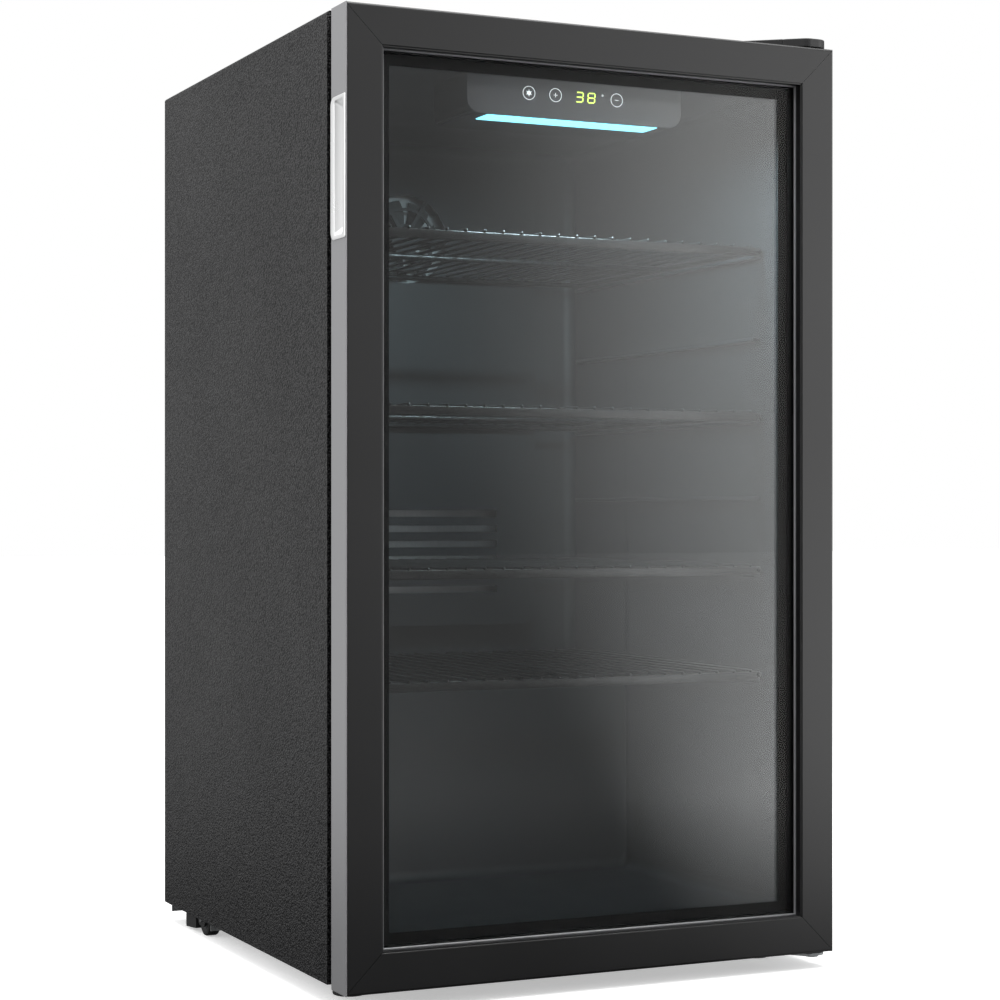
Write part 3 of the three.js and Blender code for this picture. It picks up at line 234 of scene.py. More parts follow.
@dataclass(frozen=True)
class ClearGlass:
    """Soda-lime float glass, fire-polished. A coating changes how strongly its faces mirror the room.

    Args:
        name: What it is called in the outliner.
        slot: Material slot that it would fill; not used.
        tint: Colour of a thick piece.
        roughness: Roughness of its faces.
        ior: Index of refraction, which sets how strongly it mirrors.
    """

    name: str = "Float glass"
    slot: str = "door_glass"
    tint: str = "#fbfcfc"
    roughness: float = 0.0
    ior: float = 1.52

    def material(self) -> bpy.types.Material:
        """Build or fetch the glass."""
        known = bpy.data.materials.get(self.name)
        if known:
            return known
        material = bpy.data.materials.new(self.name)
        material.use_nodes = True
        shader = material.node_tree.nodes["Principled BSDF"]
        shader.inputs["Base Color"].default_value = linear(self.tint)
        shader.inputs["Roughness"].default_value = self.roughness
        shader.inputs["IOR"].default_value = self.ior
        shader.inputs["Transmission Weight"].default_value = 1.0
        return material


@dataclass(frozen=True)
class Glow:
    """A lit surface: a frosted lens over diodes, or the segments of a readout.

    Args:
        name: What it is called in the outliner.
        slot: Material slot that it would fill; not used.
        tone: Colour of the light.
        strength: How brightly it glows.
    """

    name: str
    slot: str
    tone: str
    strength: float

    def material(self) -> bpy.types.Material:
        """Build or fetch the lit surface."""
        known = bpy.data.materials.get(self.name)
        if known:
            return known
        material = bpy.data.materials.new(self.name)
        material.use_nodes = True
        shader = material.node_tree.nodes["Principled BSDF"]
        shader.inputs["Base Color"].default_value = linear(self.tone)
        shader.inputs["Roughness"].default_value = 0.4
        shader.inputs["Emission Color"].default_value = linear(self.tone)
        shader.inputs["Emission Strength"].default_value = self.strength
        return material


AnyFinish = Finish | ClearGlass | Glow

# Steel sheet under a sprayed pebble coat: small rounded beads that catch the light as a soft sparkle.
COATED_STEEL = Finish("Pebble-coated steel", "coated_steel", "#08080a", "#2a2a2b", 0.0, 0.48, 0.05, 1.38,
                      Grain.PEBBLE, 1.6, 0.9, 200.0)
# Aluminium door profile, black anodised: an even satin with long faint highlights.
ANODISED_BLACK = Finish("Black anodised aluminium", "door_profile", "#0c0c0d", "#121213", 0.0, 0.34,
                        0.03, 1.55, Grain.SPARK, 0.5, 0.008, 220.0)
# Steel strip in satin grey lacquer: smooth, with a slightly brighter edge where it is folded.
GREY_LACQUER = Finish("Grey lacquered steel", "side_trim", "#8e8e90", "#9c9c9e", 0.3, 0.38, 0.04, 1.5,
                      Grain.SPARK, 0.5, 0.006, 180.0)
# Zinc casting in bright chrome: a clean mirror softened by very fine polishing marks.
BRIGHT_CHROME = Finish("Satin chrome plate", "pull_metal", "#eff0f0", "#f8f8f8", 1.0, 0.3, 0.05, 1.5,
                       Grain.BRUSHED, 0.4, 0.004, 60.0)
# Aluminium spacer between the panes, black: flat and dull.
SPACER_BLACK = Finish("Black spacer bar", "spacer", "#0e0e0f", "#161617", 0.2, 0.5, 0.05, 1.5,
                      Grain.SPARK, 0.8, 0.01, 60.0)
# ABS with a spark-eroded mould grain: matt black with a tight sparkle close up.
MOULDED_ABS = Finish("Grained black ABS", "dark_plastic", "#0f0f10", "#18181a", 0.0, 0.48, 0.06, 1.53,
                     Grain.SPARK, 0.7, 0.05, 90.0)
# HIPS sheet, vacuum-formed: soft satin, slightly wavy where it was drawn deepest.
FORMED_HIPS = Finish("Vacuum-formed HIPS", "liner_plastic", "#212427", "#282b2e", 0.0, 0.45, 0.05, 1.57,
                     Grain.SMOOTH, 1.0, 0.0, 130.0)
# PMMA touch panel, back-printed grey: smooth and glossy.
TOUCH_PANEL = Finish("Back-printed acrylic", "control_panel", "#5c5e62", "#646669", 0.0, 0.22, 0.03, 1.49,
                     Grain.SMOOTH, 1.0, 0.0, 120.0)
# Aluminium bead that holds the glass, lacquered grey: one thin light line beside the black lip.
GLAZING_BEAD = Finish("Grey lacquered bead", "door_profile", "#8b8c8e", "#97989a", 0.3, 0.32, 0.04, 1.5,
                      Grain.BRUSHED, 0.4, 0.004, 90.0)
# Ceramic enamel fired on the rear pane: the deepest black on the door, flat.
PANE_ENAMEL = Finish("Black ceramic enamel", "spacer", "#040404", "#070708", 0.0, 0.6, 0.03, 1.35,
                     Grain.SMOOTH, 1.0, 0.0, 60.0)
# Fibreglass board under solder mask.
SOLDER_MASK = Finish("Green solder mask", "circuit_board", "#1f5c3a", "#27704a", 0.0, 0.35, 0.05, 1.5,
                     Grain.SPARK, 1.0, 0.02, 20.0)
# Polyurethane foam, foamed in place: dull and open-pored.
RIGID_FOAM = Finish("Polyurethane foam", "foam", "#cdb67c", "#dcc790", 0.0, 0.95, 0.03, 1.45,
                    Grain.PEBBLE, 1.5, 0.4, 60.0)
# Magnetic PVC gasket, extruded: soft black, slightly waxy.
GASKET_PVC = Finish("Extruded soft PVC", "seal_rubber", "#121213", "#1b1b1c", 0.0, 0.55, 0.06, 1.53,
                    Grain.SPARK, 1.0, 0.02, 50.0)
# Rubber tyre, moulded: dusty matt black.
MOULDED_RUBBER = Finish("Moulded rubber", "roller_rubber", "#1a1a1a", "#262626", 0.0, 0.75, 0.06, 1.52,
                        Grain.SPARK, 0.9, 0.06, 30.0)
# Steel wire in black powder coat: orange-peel gloss with bright lines along each wire.
POWDER_WIRE = Finish("Powder-coated wire", "shelf_wire", "#0f1011", "#17191a", 0.0, 0.33, 0.05, 1.5,
                     Grain.PEBBLE, 0.9, 0.03, 60.0)
# Galvanised steel: pale grey with zinc crystals.
GALVANISED = Finish("Galvanised steel", "zinc_steel", "#9a9d9f", "#c0c2c3", 1.0, 0.38, 0.1, 1.5,
                    Grain.SPANGLE, 7.0, 0.0, 40.0)
# Roll-bonded aluminium, mill finish: drawn marks along the sheet.
MILL_ALUMINIUM = Finish("Mill-finish aluminium", "evaporator_aluminium", "#b9bbbd", "#cfd1d2", 1.0, 0.35,
                        0.08, 1.5, Grain.BRUSHED, 0.5, 0.01, 70.0)
# Copper tube, drawn and lightly tarnished.
DRAWN_COPPER = Finish("Drawn copper", "copper", "#b06a3e", "#8a4f30", 1.0, 0.32, 0.12, 1.5,
                      Grain.SPARK, 0.8, 0.01, 35.0)
# Steel shell in black enamel: semi-gloss with slight runs.
BLACK_ENAMEL = Finish("Black stove enamel", "machine_black", "#101011", "#1b1b1c", 0.0, 0.3, 0.07, 1.52,
                      Grain.PEBBLE, 2.2, 0.05, 70.0)
# Glass-filled nylon, natural grey: a little translucent and dusty.
HUB_NYLON = Finish("Grey nylon", "dark_plastic", "#55575a", "#616366", 0.0, 0.5, 0.05, 1.53,
                   Grain.SPARK, 0.8, 0.04, 20.0)
# Front pane with a coating that cuts its reflection, so the black border behind it stays dark.
FRONT_PANE = ClearGlass("Float glass, reflection-cut coating", ior=1.17)
# Rear pane with a coating that keeps the warmth out: it mirrors the room as a pale veil.
REAR_PANE = ClearGlass("Float glass, low-emissivity coating", ior=1.55)
# Frosted acrylic over blue-white diodes, then the backlit marks and the green segments.
LAMP_LENS = Glow("Frosted lamp lens", "lamp_lens", "#7fd8ec", 2.4)
PANEL_MARKS = Glow("Backlit white mark", "control_panel", "#eef4f6", 0.75)
READOUT_LIT = Glow("Lit readout segments", "control_panel", "#d3f06a", 2.4)


# ------------------------------------------------------------------ mesh making


def publish(shape: bmesh.types.BMesh, name: str, finish: AnyFinish, body: str,
            sharp: float = 32.0) -> bpy.types.Object:
    """Turn a bmesh into a piece that rides on a body.

    Args:
        shape: The finished bmesh; it is freed.
        name: The piece's name.
        finish: What it is made of.
        body: The body that carries it.
        sharp: Edges sharper than this many degrees stay crisp.

    Returns:
        The new object.
    """
    bmesh.ops.recalc_face_normals(shape, faces=shape.faces)
    mesh = bpy.data.meshes.new(name)
    shape.to_mesh(mesh)
    shape.free()
    mesh.shade_smooth()
    mesh.set_sharp_from_angle(angle=math.radians(sharp))
    piece = bpy.data.objects.new(name, mesh)
    bpy.context.scene.collection.objects.link(piece)
    mesh.materials.append(finish.material())
    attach(piece, body)
    LOG.info("built %s: %d faces on %s", name, len(mesh.polygons), body)
    return piece


def block(shape: bmesh.types.BMesh, low: Vector, high: Vector, edge: float, segments: int = 2) -> None:
    """Add a box with rounded edges.

    Args:
        shape: The bmesh that takes it.
        low: Lowest corner.
        high: Highest corner.
        edge: Edge radius.
        segments: Facets across each edge.
    """
    size = high - low
    matrix = Matrix.Translation((low + high) / 2) @ Matrix.Diagonal((*size, 1.0))
    made = bmesh.ops.create_cube(shape, size=1.0, matrix=matrix)
    if edge > 0:
        edges = {item for vertex in made["verts"] for item in vertex.link_edges}
        bmesh.ops.bevel(shape, geom=list(edges), offset=edge, segments=segments, profile=0.5, affect="EDGES")


def tube(shape: bmesh.types.BMesh, path: list[Vector], radius: float, sides: int = 12,
         domed: bool = True) -> None:
    """Add a round bar along a path, with domed or flat ends.

    Args:
        shape: The bmesh that takes it.
        path: Points along its middle.
        radius: Radius of the bar.
        sides: Facets round it.
        domed: Whether its ends are domed.
    """
    rings: list[tuple[Vector, Vector, float]] = []
    count = len(path)
    for index, point in enumerate(path):
        ahead = path[min(index + 1, count - 1)] - path[max(index - 1, 0)]
        rings.append((point, ahead.normalized(), radius))
    if domed:
        caps = ((0.3, 0.95), (0.7, 0.7), (0.95, 0.3))
        first, last = rings[0], rings[-1]
        head = [(first[0] - first[1] * radius * out, first[1], radius * width)
                for out, width in reversed(caps)]
        tail = [(last[0] + last[1] * radius * out, last[1], radius * width) for out, width in caps]
        rings = head + rings + tail
    side = rings[0][1].orthogonal().normalized()
    loops = []
    for point, ahead, size in rings:
        side = (side - ahead * side.dot(ahead)).normalized()
        other = ahead.cross(side)
        turn = [2 * math.pi * step / sides for step in range(sides)]
        loops.append([shape.verts.new(point + (side * math.cos(a) + other * math.sin(a)) * size)
                      for a in turn])
    join_loops(shape, loops)
    shape.faces.new(list(reversed(loops[0])))
    shape.faces.new(loops[-1])


def join_loops(shape: bmesh.types.BMesh, loops: list, closed: bool = False) -> None:
    """Skin between rings of vertices.

    Args:
        shape: The bmesh that holds them.
        loops: Rings with the same number of vertices.
        closed: Whether the last ring joins the first.
    """
    pairs = list(zip(loops, loops[1:]))
    if closed:
        pairs.append((loops[-1], loops[0]))
    for near, far in pairs:
        count = len(near)
        for index in range(count):
            after = (index + 1) % count
            shape.faces.new((near[index], near[after], far[after], far[index]))


def lathe(shape: bmesh.types.BMesh, profile: list[Point2], centre: Vector, axis: str,
          sides: int = 48) -> None:
    """Add a body of revolution whose profile starts and ends on the axis or closes on itself.

    Args:
        shape: The bmesh that takes it.
        profile: Points of (radius, distance along the axis).
        centre: Where the axis starts.
        axis: "X", "Y" or "Z".
        sides: Facets round it.
    """
    frames = {"X": (Vector((0, 1, 0)), Vector((0, 0, 1)), Vector((1, 0, 0))),
              "Y": (Vector((0, 0, 1)), Vector((1, 0, 0)), Vector((0, 1, 0))),
              "Z": (Vector((1, 0, 0)), Vector((0, 1, 0)), Vector((0, 0, 1)))}
    first, second, along = frames[axis]
    ring_closed = profile[0] == profile[-1]
    points = profile[:-1] if ring_closed else profile
    loops = []
    for radius, distance in points:
        middle = centre + along * distance
        if radius < 1e-7:
            loops.append([shape.verts.new(middle)])
            continue
        loop = []
        for step in range(sides):
            turn = 2 * math.pi * step / sides
            loop.append(shape.verts.new(middle + (first * math.cos(turn) + second * math.sin(turn)) * radius))
        loops.append(loop)
    pairs = list(zip(loops, loops[1:]))
    if ring_closed:
        pairs.append((loops[-1], loops[0]))
    for near, far in pairs:
        for index in range(sides):
            after = (index + 1) % sides
            if len(near) == 1 and len(far) > 1:
                shape.faces.new((near[0], far[after], far[index]))
            elif len(far) == 1 and len(near) > 1:
                shape.faces.new((near[index], near[after], far[0]))
            elif len(near) > 1:
                shape.faces.new((near[index], near[after], far[after], far[index]))


def slab(shape: bmesh.types.BMesh, outline: list[Vector], depth: Vector) -> None:
    """Add a flat outline pulled out by a depth.

    Args:
        shape: The bmesh that takes it.
        outline: Corners in order.
        depth: How far and which way it is pulled.
    """
    near = [shape.verts.new(point) for point in outline]
    far = [shape.verts.new(point + depth) for point in outline]
    shape.faces.new(near)
    shape.faces.new(list(reversed(far)))
    join_loops(shape, [near, far])


def rounded_ring(shape: bmesh.types.BMesh, place: Callable[[float, float], Vector],
                 spans: tuple[float, float, float, float], radii: tuple[float, float, float, float],
                 facets: int = 5) -> list[bmesh.types.BMVert]:
    """Lay a ring in the shape of a rectangle with rounded corners.

    Args:
        shape: The bmesh that takes it.
        place: Turns the ring's own two coordinates into a point.
        spans: Lowest and highest first coordinate, then lowest and highest second coordinate.
        radii: Corner radii, from high-low round to low-low through high-high and low-high.
        facets: Facets round each corner.

    Returns:
        The ring's vertices in order.
    """
    a_low, a_high, b_low, b_high = spans
    corners = ((a_high, b_low, -1, 1), (a_high, b_high, -1, -1), (a_low, b_high, 1, -1), (a_low, b_low, 1, 1))
    loop = []
    for quarter, ((a, b, side, up), radius) in enumerate(zip(corners, radii)):
        for step in range(facets + 1):
            turn = (quarter - 1 + step / facets) * math.pi / 2
            along = a + side * radius + radius * math.cos(turn)
            across = b + up * radius + radius * math.sin(turn)
            loop.append(shape.verts.new(place(along, across)))
    return loop


def mitred(shape: bmesh.types.BMesh, spans: tuple[float, float, float, float],
           section: list[Point2]) -> None:
    """Run a profile round a rectangle in the door's plane, with mitred corners.

    Args:
        shape: The bmesh that takes it.
        spans: Left, right, lowest and highest sides of the rectangle.
        section: Closed outline as pairs of distance inwards and depth.
    """
    left, right, low, high = spans
    loops = []
    for x, z, across, up in ((left, low, 1, 1), (right, low, -1, 1), (right, high, -1, -1),
                             (left, high, 1, -1)):
        loops.append([shape.verts.new((x + across * inset, depth, z + up * inset))
                      for inset, depth in section])
    join_loops(shape, loops, closed=True)


def dress(node: str, finish: AnyFinish, edge_mm: float = 0.0) -> bpy.types.Object:
    """Give a carried-over node its finish, and soft edges where it has hard ones.

    Args:
        node: Name of the node.
        finish: What it is made of.
        edge_mm: Width of the rounding on its edges, or 0 to leave them.

    Returns:
        The node's object.
    """
    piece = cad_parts[node]
    piece.data.materials.clear()
    piece.data.materials.append(finish.material())
    if edge_mm > 0:
        weld = piece.modifiers.new("weld", "WELD")
        weld.merge_threshold = 0.00001
        flatten = piece.modifiers.new("flatten", "DECIMATE")
        flatten.decimate_type = "DISSOLVE"
        flatten.angle_limit = math.radians(0.5)
        bevel = piece.modifiers.new("edges", "BEVEL")
        bevel.width = edge_mm * MM
        bevel.segments = 2
        bevel.limit_method = "ANGLE"
        bevel.angle_limit = math.radians(40)
    LOG.info("dressed %s in %s", node, finish.name)
    return piece


# ------------------------------------------------------------------ studio


# How the room brightens from below the horizon to overhead, by the height of a direction of unit length.
SKY_RISE = {"From Min": -0.2, "From Max": 0.7, "To Min": 0.07, "To Max": 0.8}
# How the floor's mirrored glow rises with distance in metres: dim near the fridge, the room's own far off.
FLOOR_FADE = {"From Min": 0.5, "From Max": 1.6, "To Min": 0.1, "To Max": 1.0}


@dataclass
class Studio:
    """Pale floor, soft light and the camera.

    Args:
        lens_mm: Focal length on a 36 mm sensor.
        heading_deg: Turn of the level camera about the vertical.
        shift_y: Upward shift of the frame.
        side_m: Camera to the left of the door's left edge.
        back_m: Camera in front of the door.
        height_m: Camera above the door's lower edge.
        floor_m: Size of the floor.
        floor_tone: Floor where it is seen.
        floor_dim: Floor as the fridge is lit by it.
        seen_glow: Light the floor gives off where it is seen straight on, so that it fades into the white.
        strip_tone: Colour of the light under the strip lens.
        strip_watt: Power of the light under the strip lens.
        strip_drop: How far below the lens it starts.
        aim_height_m: Height that the softboxes face.
        softboxes: Name, place, size and power of each softbox.
        cards: Heading of each soft card, where its glow starts and is full, and its strength.
    """

    lens_mm: float = 83.72
    heading_deg: float = -25.11
    shift_y: float = 0.0138
    side_m: float = 0.7018
    back_m: float = 1.8009
    height_m: float = 0.4012
    floor_m: float = 40.0
    floor_tone: str = "#f6f6f6"
    floor_dim: str = "#303030"
    seen_glow: float = 0.45
    strip_tone: str = "#d8f6ff"
    strip_watt: float = 2.2
    strip_drop: float = 0.004
    aim_height_m: float = 0.45
    softboxes: tuple[tuple[str, tuple[float, float, float], float, float], ...] = (
        ("top softbox", (0.2, -0.6, 3.0), 2.6, 85.0),
        ("left softbox", (-2.6, 0.4, 1.5), 1.6, 14.0),
    )
    cards: tuple[tuple[tuple[float, float, float], float, float, float], ...] = (
        ((0.78, -0.6, 0.1), 0.87, 0.97, 2.35),
        ((-0.93, 0.3, 0.2), 0.0, 0.85, 0.55),
    )

    def camera(self) -> None:
        """Set the level camera at the front left."""
        low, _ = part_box("side_trim")
        edge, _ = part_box("outer_shell")
        front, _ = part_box("door_frame_top")
        data = bpy.data.cameras.new("camera")
        data.sensor_width = 36.0
        data.lens = self.lens_mm
        data.shift_y = self.shift_y
        data.clip_start = 0.05
        data.clip_end = 60.0
        camera = bpy.data.objects.new("camera", data)
        camera.location = (edge.x - self.side_m, front.y - self.back_m, low.z + self.height_m)
        camera.rotation_euler = (math.radians(90), 0.0, math.radians(self.heading_deg))
        bpy.context.scene.collection.objects.link(camera)
        bpy.context.scene.camera = camera

    def bounced(self, tree: bpy.types.NodeTree) -> bpy.types.NodeSocket:
        """Tell light that was reflected or scattered from what is seen straight on or through glass.

        Args:
            tree: The node tree that takes the nodes.

        Returns:
            A socket that is 1 for reflected or scattered light and 0 otherwise.
        """
        path = add_node(tree, "ShaderNodeLightPath", {})
        return add_node(tree, "ShaderNodeMath", {"operation": "ADD", "use_clamp": True},
                        {0: path.outputs["Diffuse Depth"], 1: path.outputs["Glossy Depth"]}).outputs[0]

    def surroundings(self, tree: bpy.types.NodeTree, heading: bpy.types.NodeSocket) -> bpy.types.NodeSocket:
        """Work out how bright the room is in one direction: a lit top and two broad soft cards.

        Args:
            tree: The node tree that takes the nodes.
            heading: The direction, of unit length.

        Returns:
            The brightness.
        """
        height = add_node(tree, "ShaderNodeSeparateXYZ", {}, {0: heading})
        sky = add_node(tree, "ShaderNodeMapRange", SKY_RISE, {"Value": height.outputs["Z"]})
        light = sky.outputs["Result"]
        for aim, start, full, strength in self.cards:
            card = Vector(aim).normalized()
            facing = add_node(tree, "ShaderNodeVectorMath", {"operation": "DOT_PRODUCT", 1: card},
                              {0: heading})
            glow = add_node(tree, "ShaderNodeMapRange", {
                "interpolation_type": "SMOOTHSTEP", "From Min": start, "From Max": full,
                "To Min": 0.0, "To Max": strength,
            }, {"Value": facing.outputs["Value"]})
            light = add_node(tree, "ShaderNodeMath", {"operation": "ADD"},
                             {0: light, 1: glow.outputs["Result"]}).outputs[0]
        return light

    def floor(self) -> None:
        """Lay the pale floor, which throws back little light on the fridge and less with distance."""
        shape = bmesh.new()
        half = self.floor_m / 2
        corners = [(-half, -half), (half, -half), (half, half), (-half, half)]
        shape.faces.new([shape.verts.new((x, y, 0.0)) for x, y in corners])
        mesh = bpy.data.meshes.new("floor")
        shape.to_mesh(mesh)
        shape.free()
        floor = bpy.data.objects.new("floor", mesh)
        bpy.context.scene.collection.objects.link(floor)
        material = bpy.data.materials.new("Studio floor")
        material.use_nodes = True
        shader = material.node_tree.nodes["Principled BSDF"]
        tree = material.node_tree
        place = add_node(tree, "ShaderNodeTexCoord", {}).outputs["Object"]
        reach = add_node(tree, "ShaderNodeVectorMath", {"operation": "LENGTH"}, {0: place})
        heading = add_node(tree, "ShaderNodeVectorMath", {"operation": "NORMALIZE"}, {0: place})
        fade = add_node(tree, "ShaderNodeMapRange", FLOOR_FADE, {"Value": reach.outputs["Value"]})
        room = add_node(tree, "ShaderNodeMath", {"operation": "MULTIPLY"},
                        {0: self.surroundings(tree, heading.outputs["Vector"]), 1: fade.outputs["Result"]})
        second = self.bounced(tree)
        glow = add_node(tree, "ShaderNodeMix", {"data_type": "FLOAT", 2: self.seen_glow},
                        {"Factor": second, 3: room.outputs[0]})
        tree.links.new(glow.outputs[0], shader.inputs["Emission Strength"])
        tone = add_node(tree, "ShaderNodeMix",
                        {"data_type": "RGBA", 6: linear(self.floor_tone), 7: linear(self.floor_dim)},
                        {"Factor": second})
        tree.links.new(tone.outputs[2], shader.inputs["Base Color"])
        shader.inputs["Emission Color"].default_value = (1.0, 1.0, 1.0, 1.0)
        shader.inputs["Roughness"].default_value = 0.9
        shader.inputs["Specular IOR Level"].default_value = 0.1
        mesh.materials.append(material)

    def world(self) -> None:
        """Surround the room with a dim front, a lit top and two broad soft cards."""
        world = bpy.data.worlds.new("studio")
        bpy.context.scene.world = world
        world.use_nodes = True
        tree = world.node_tree
        tree.nodes.clear()
        light = self.surroundings(tree, add_node(tree, "ShaderNodeTexCoord", {}).outputs["Generated"])
        lit = add_node(tree, "ShaderNodeBackground", {"Color": (1, 1, 1, 1)}, {"Strength": light})
        seen = add_node(tree, "ShaderNodeBackground", {"Color": (1, 1, 1, 1), "Strength": 1.0})
        mix = add_node(tree, "ShaderNodeMixShader", {},
                       {0: self.bounced(tree), 1: seen.outputs[0], 2: lit.outputs[0]})
        add_node(tree, "ShaderNodeOutputWorld", {}, {"Surface": mix.outputs[0]})
        bpy.context.scene.view_settings.view_transform = "Standard"

    def lights(self) -> None:
        """Hang a large softbox over the fridge, a small one at its left, and light the strip inside it."""
        for name, place, size, power in self.softboxes:
            data = bpy.data.lights.new(name, "AREA")
            data.shape = "SQUARE"
            data.size = size
            data.energy = power
            lamp = bpy.data.objects.new(name, data)
            lamp.location = place
            aim = Vector((0.0, 0.0, self.aim_height_m)) - Vector(place)
            lamp.rotation_euler = aim.to_track_quat("-Z", "Y").to_euler()
            bpy.context.scene.collection.objects.link(lamp)
        self.interior_strip()

    def interior_strip(self) -> None:
        """Light the compartment from just under the lens, as the diodes do."""
        low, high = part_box("led_lens")
        data = bpy.data.lights.new("interior strip", "AREA")
        data.shape = "RECTANGLE"
        data.size = high.x - low.x
        data.size_y = high.y - low.y
        data.energy = self.strip_watt
        data.color = linear(self.strip_tone)[:3]
        lamp = bpy.data.objects.new("interior strip", data)
        lamp.location = (low + high) / 2
        lamp.location.z = low.z - self.strip_drop
        lamp.visible_camera = False
        lamp.visible_transmission = False
        bpy.context.scene.collection.objects.link(lamp)

    def build(self) -> None:
        """Set up the whole studio."""
        self.camera()
        self.floor()
        self.world()
        self.lights()


# ------------------------------------------------------------------ cabinet


@dataclass
class Cabinet:
    """Coated steel shell with its back, rails and base.

    Args:
        screw_mm: Radius of a pan-head screw on the back.
        screw_inset_mm: Screw centre from the back panel's edge.
    """

    screw_mm: float = 3.6
    screw_inset_mm: float = 9.0

    def build(self) -> None:
        """Dress the sheet parts and put in the screws that hold the back."""
        dress("outer_shell", COATED_STEEL, 0.4)
        dress("back_panel", COATED_STEEL, 0.4)
        dress("front_rail", COATED_STEEL, 0.3)
        dress("bay_cover", COATED_STEEL, 0.3)
        dress("base_panel", GALVANISED, 0.3)
        dress("compressor_tray", GALVANISED, 0.3)
        dress("foam_insulation", RIGID_FOAM)
        self.screws()

    def screws(self) -> None:
        """Set cross-recess screws round the back panel and the machine cover."""
        shape = bmesh.new()
        inset = self.screw_inset_mm * MM
        low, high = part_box("back_panel")
        face = high.y - 0.001
        heights = [low.z + inset, (low.z + high.z) / 2, high.z - inset]
        places = [(x, z) for x in (low.x + inset, high.x - inset) for z in heights]
        places += [(0.0, high.z - inset)]
        for x, z in places:
            self.screw(shape, Vector((x, face, z)))
        cover_low, cover_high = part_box("bay_cover")
        for x in (cover_low.x + inset, cover_high.x - inset):
            for z in (cover_low.z + inset, cover_high.z - inset):
                self.screw(shape, Vector((x, cover_high.y, z)))
        publish(shape, "back_screws", GALVANISED, "cabinet")

    def screw(self, shape: bmesh.types.BMesh, at: Vector) -> None:
        """Add one pan head with a cross recess, standing out from the back.

        Args:
            shape: The bmesh that takes it.
            at: Middle of its seat.
        """
        radius = self.screw_mm * MM
        head = [(0.0, 0.0012), (radius * 0.55, 0.0011), (radius * 0.9, 0.0006), (radius, 0.0),
                (radius * 0.5, -0.0006), (0.0, -0.0006)]
        lathe(shape, head, at, "Y", 20)
        for wide, tall in ((0.55, 0.14), (0.14, 0.55)):
            half = Vector((radius * wide, 0.0, radius * tall))
            block(shape, at - half + Vector((0, 0.0008, 0)), at + half + Vector((0, 0.00125, 0)), 0.0)


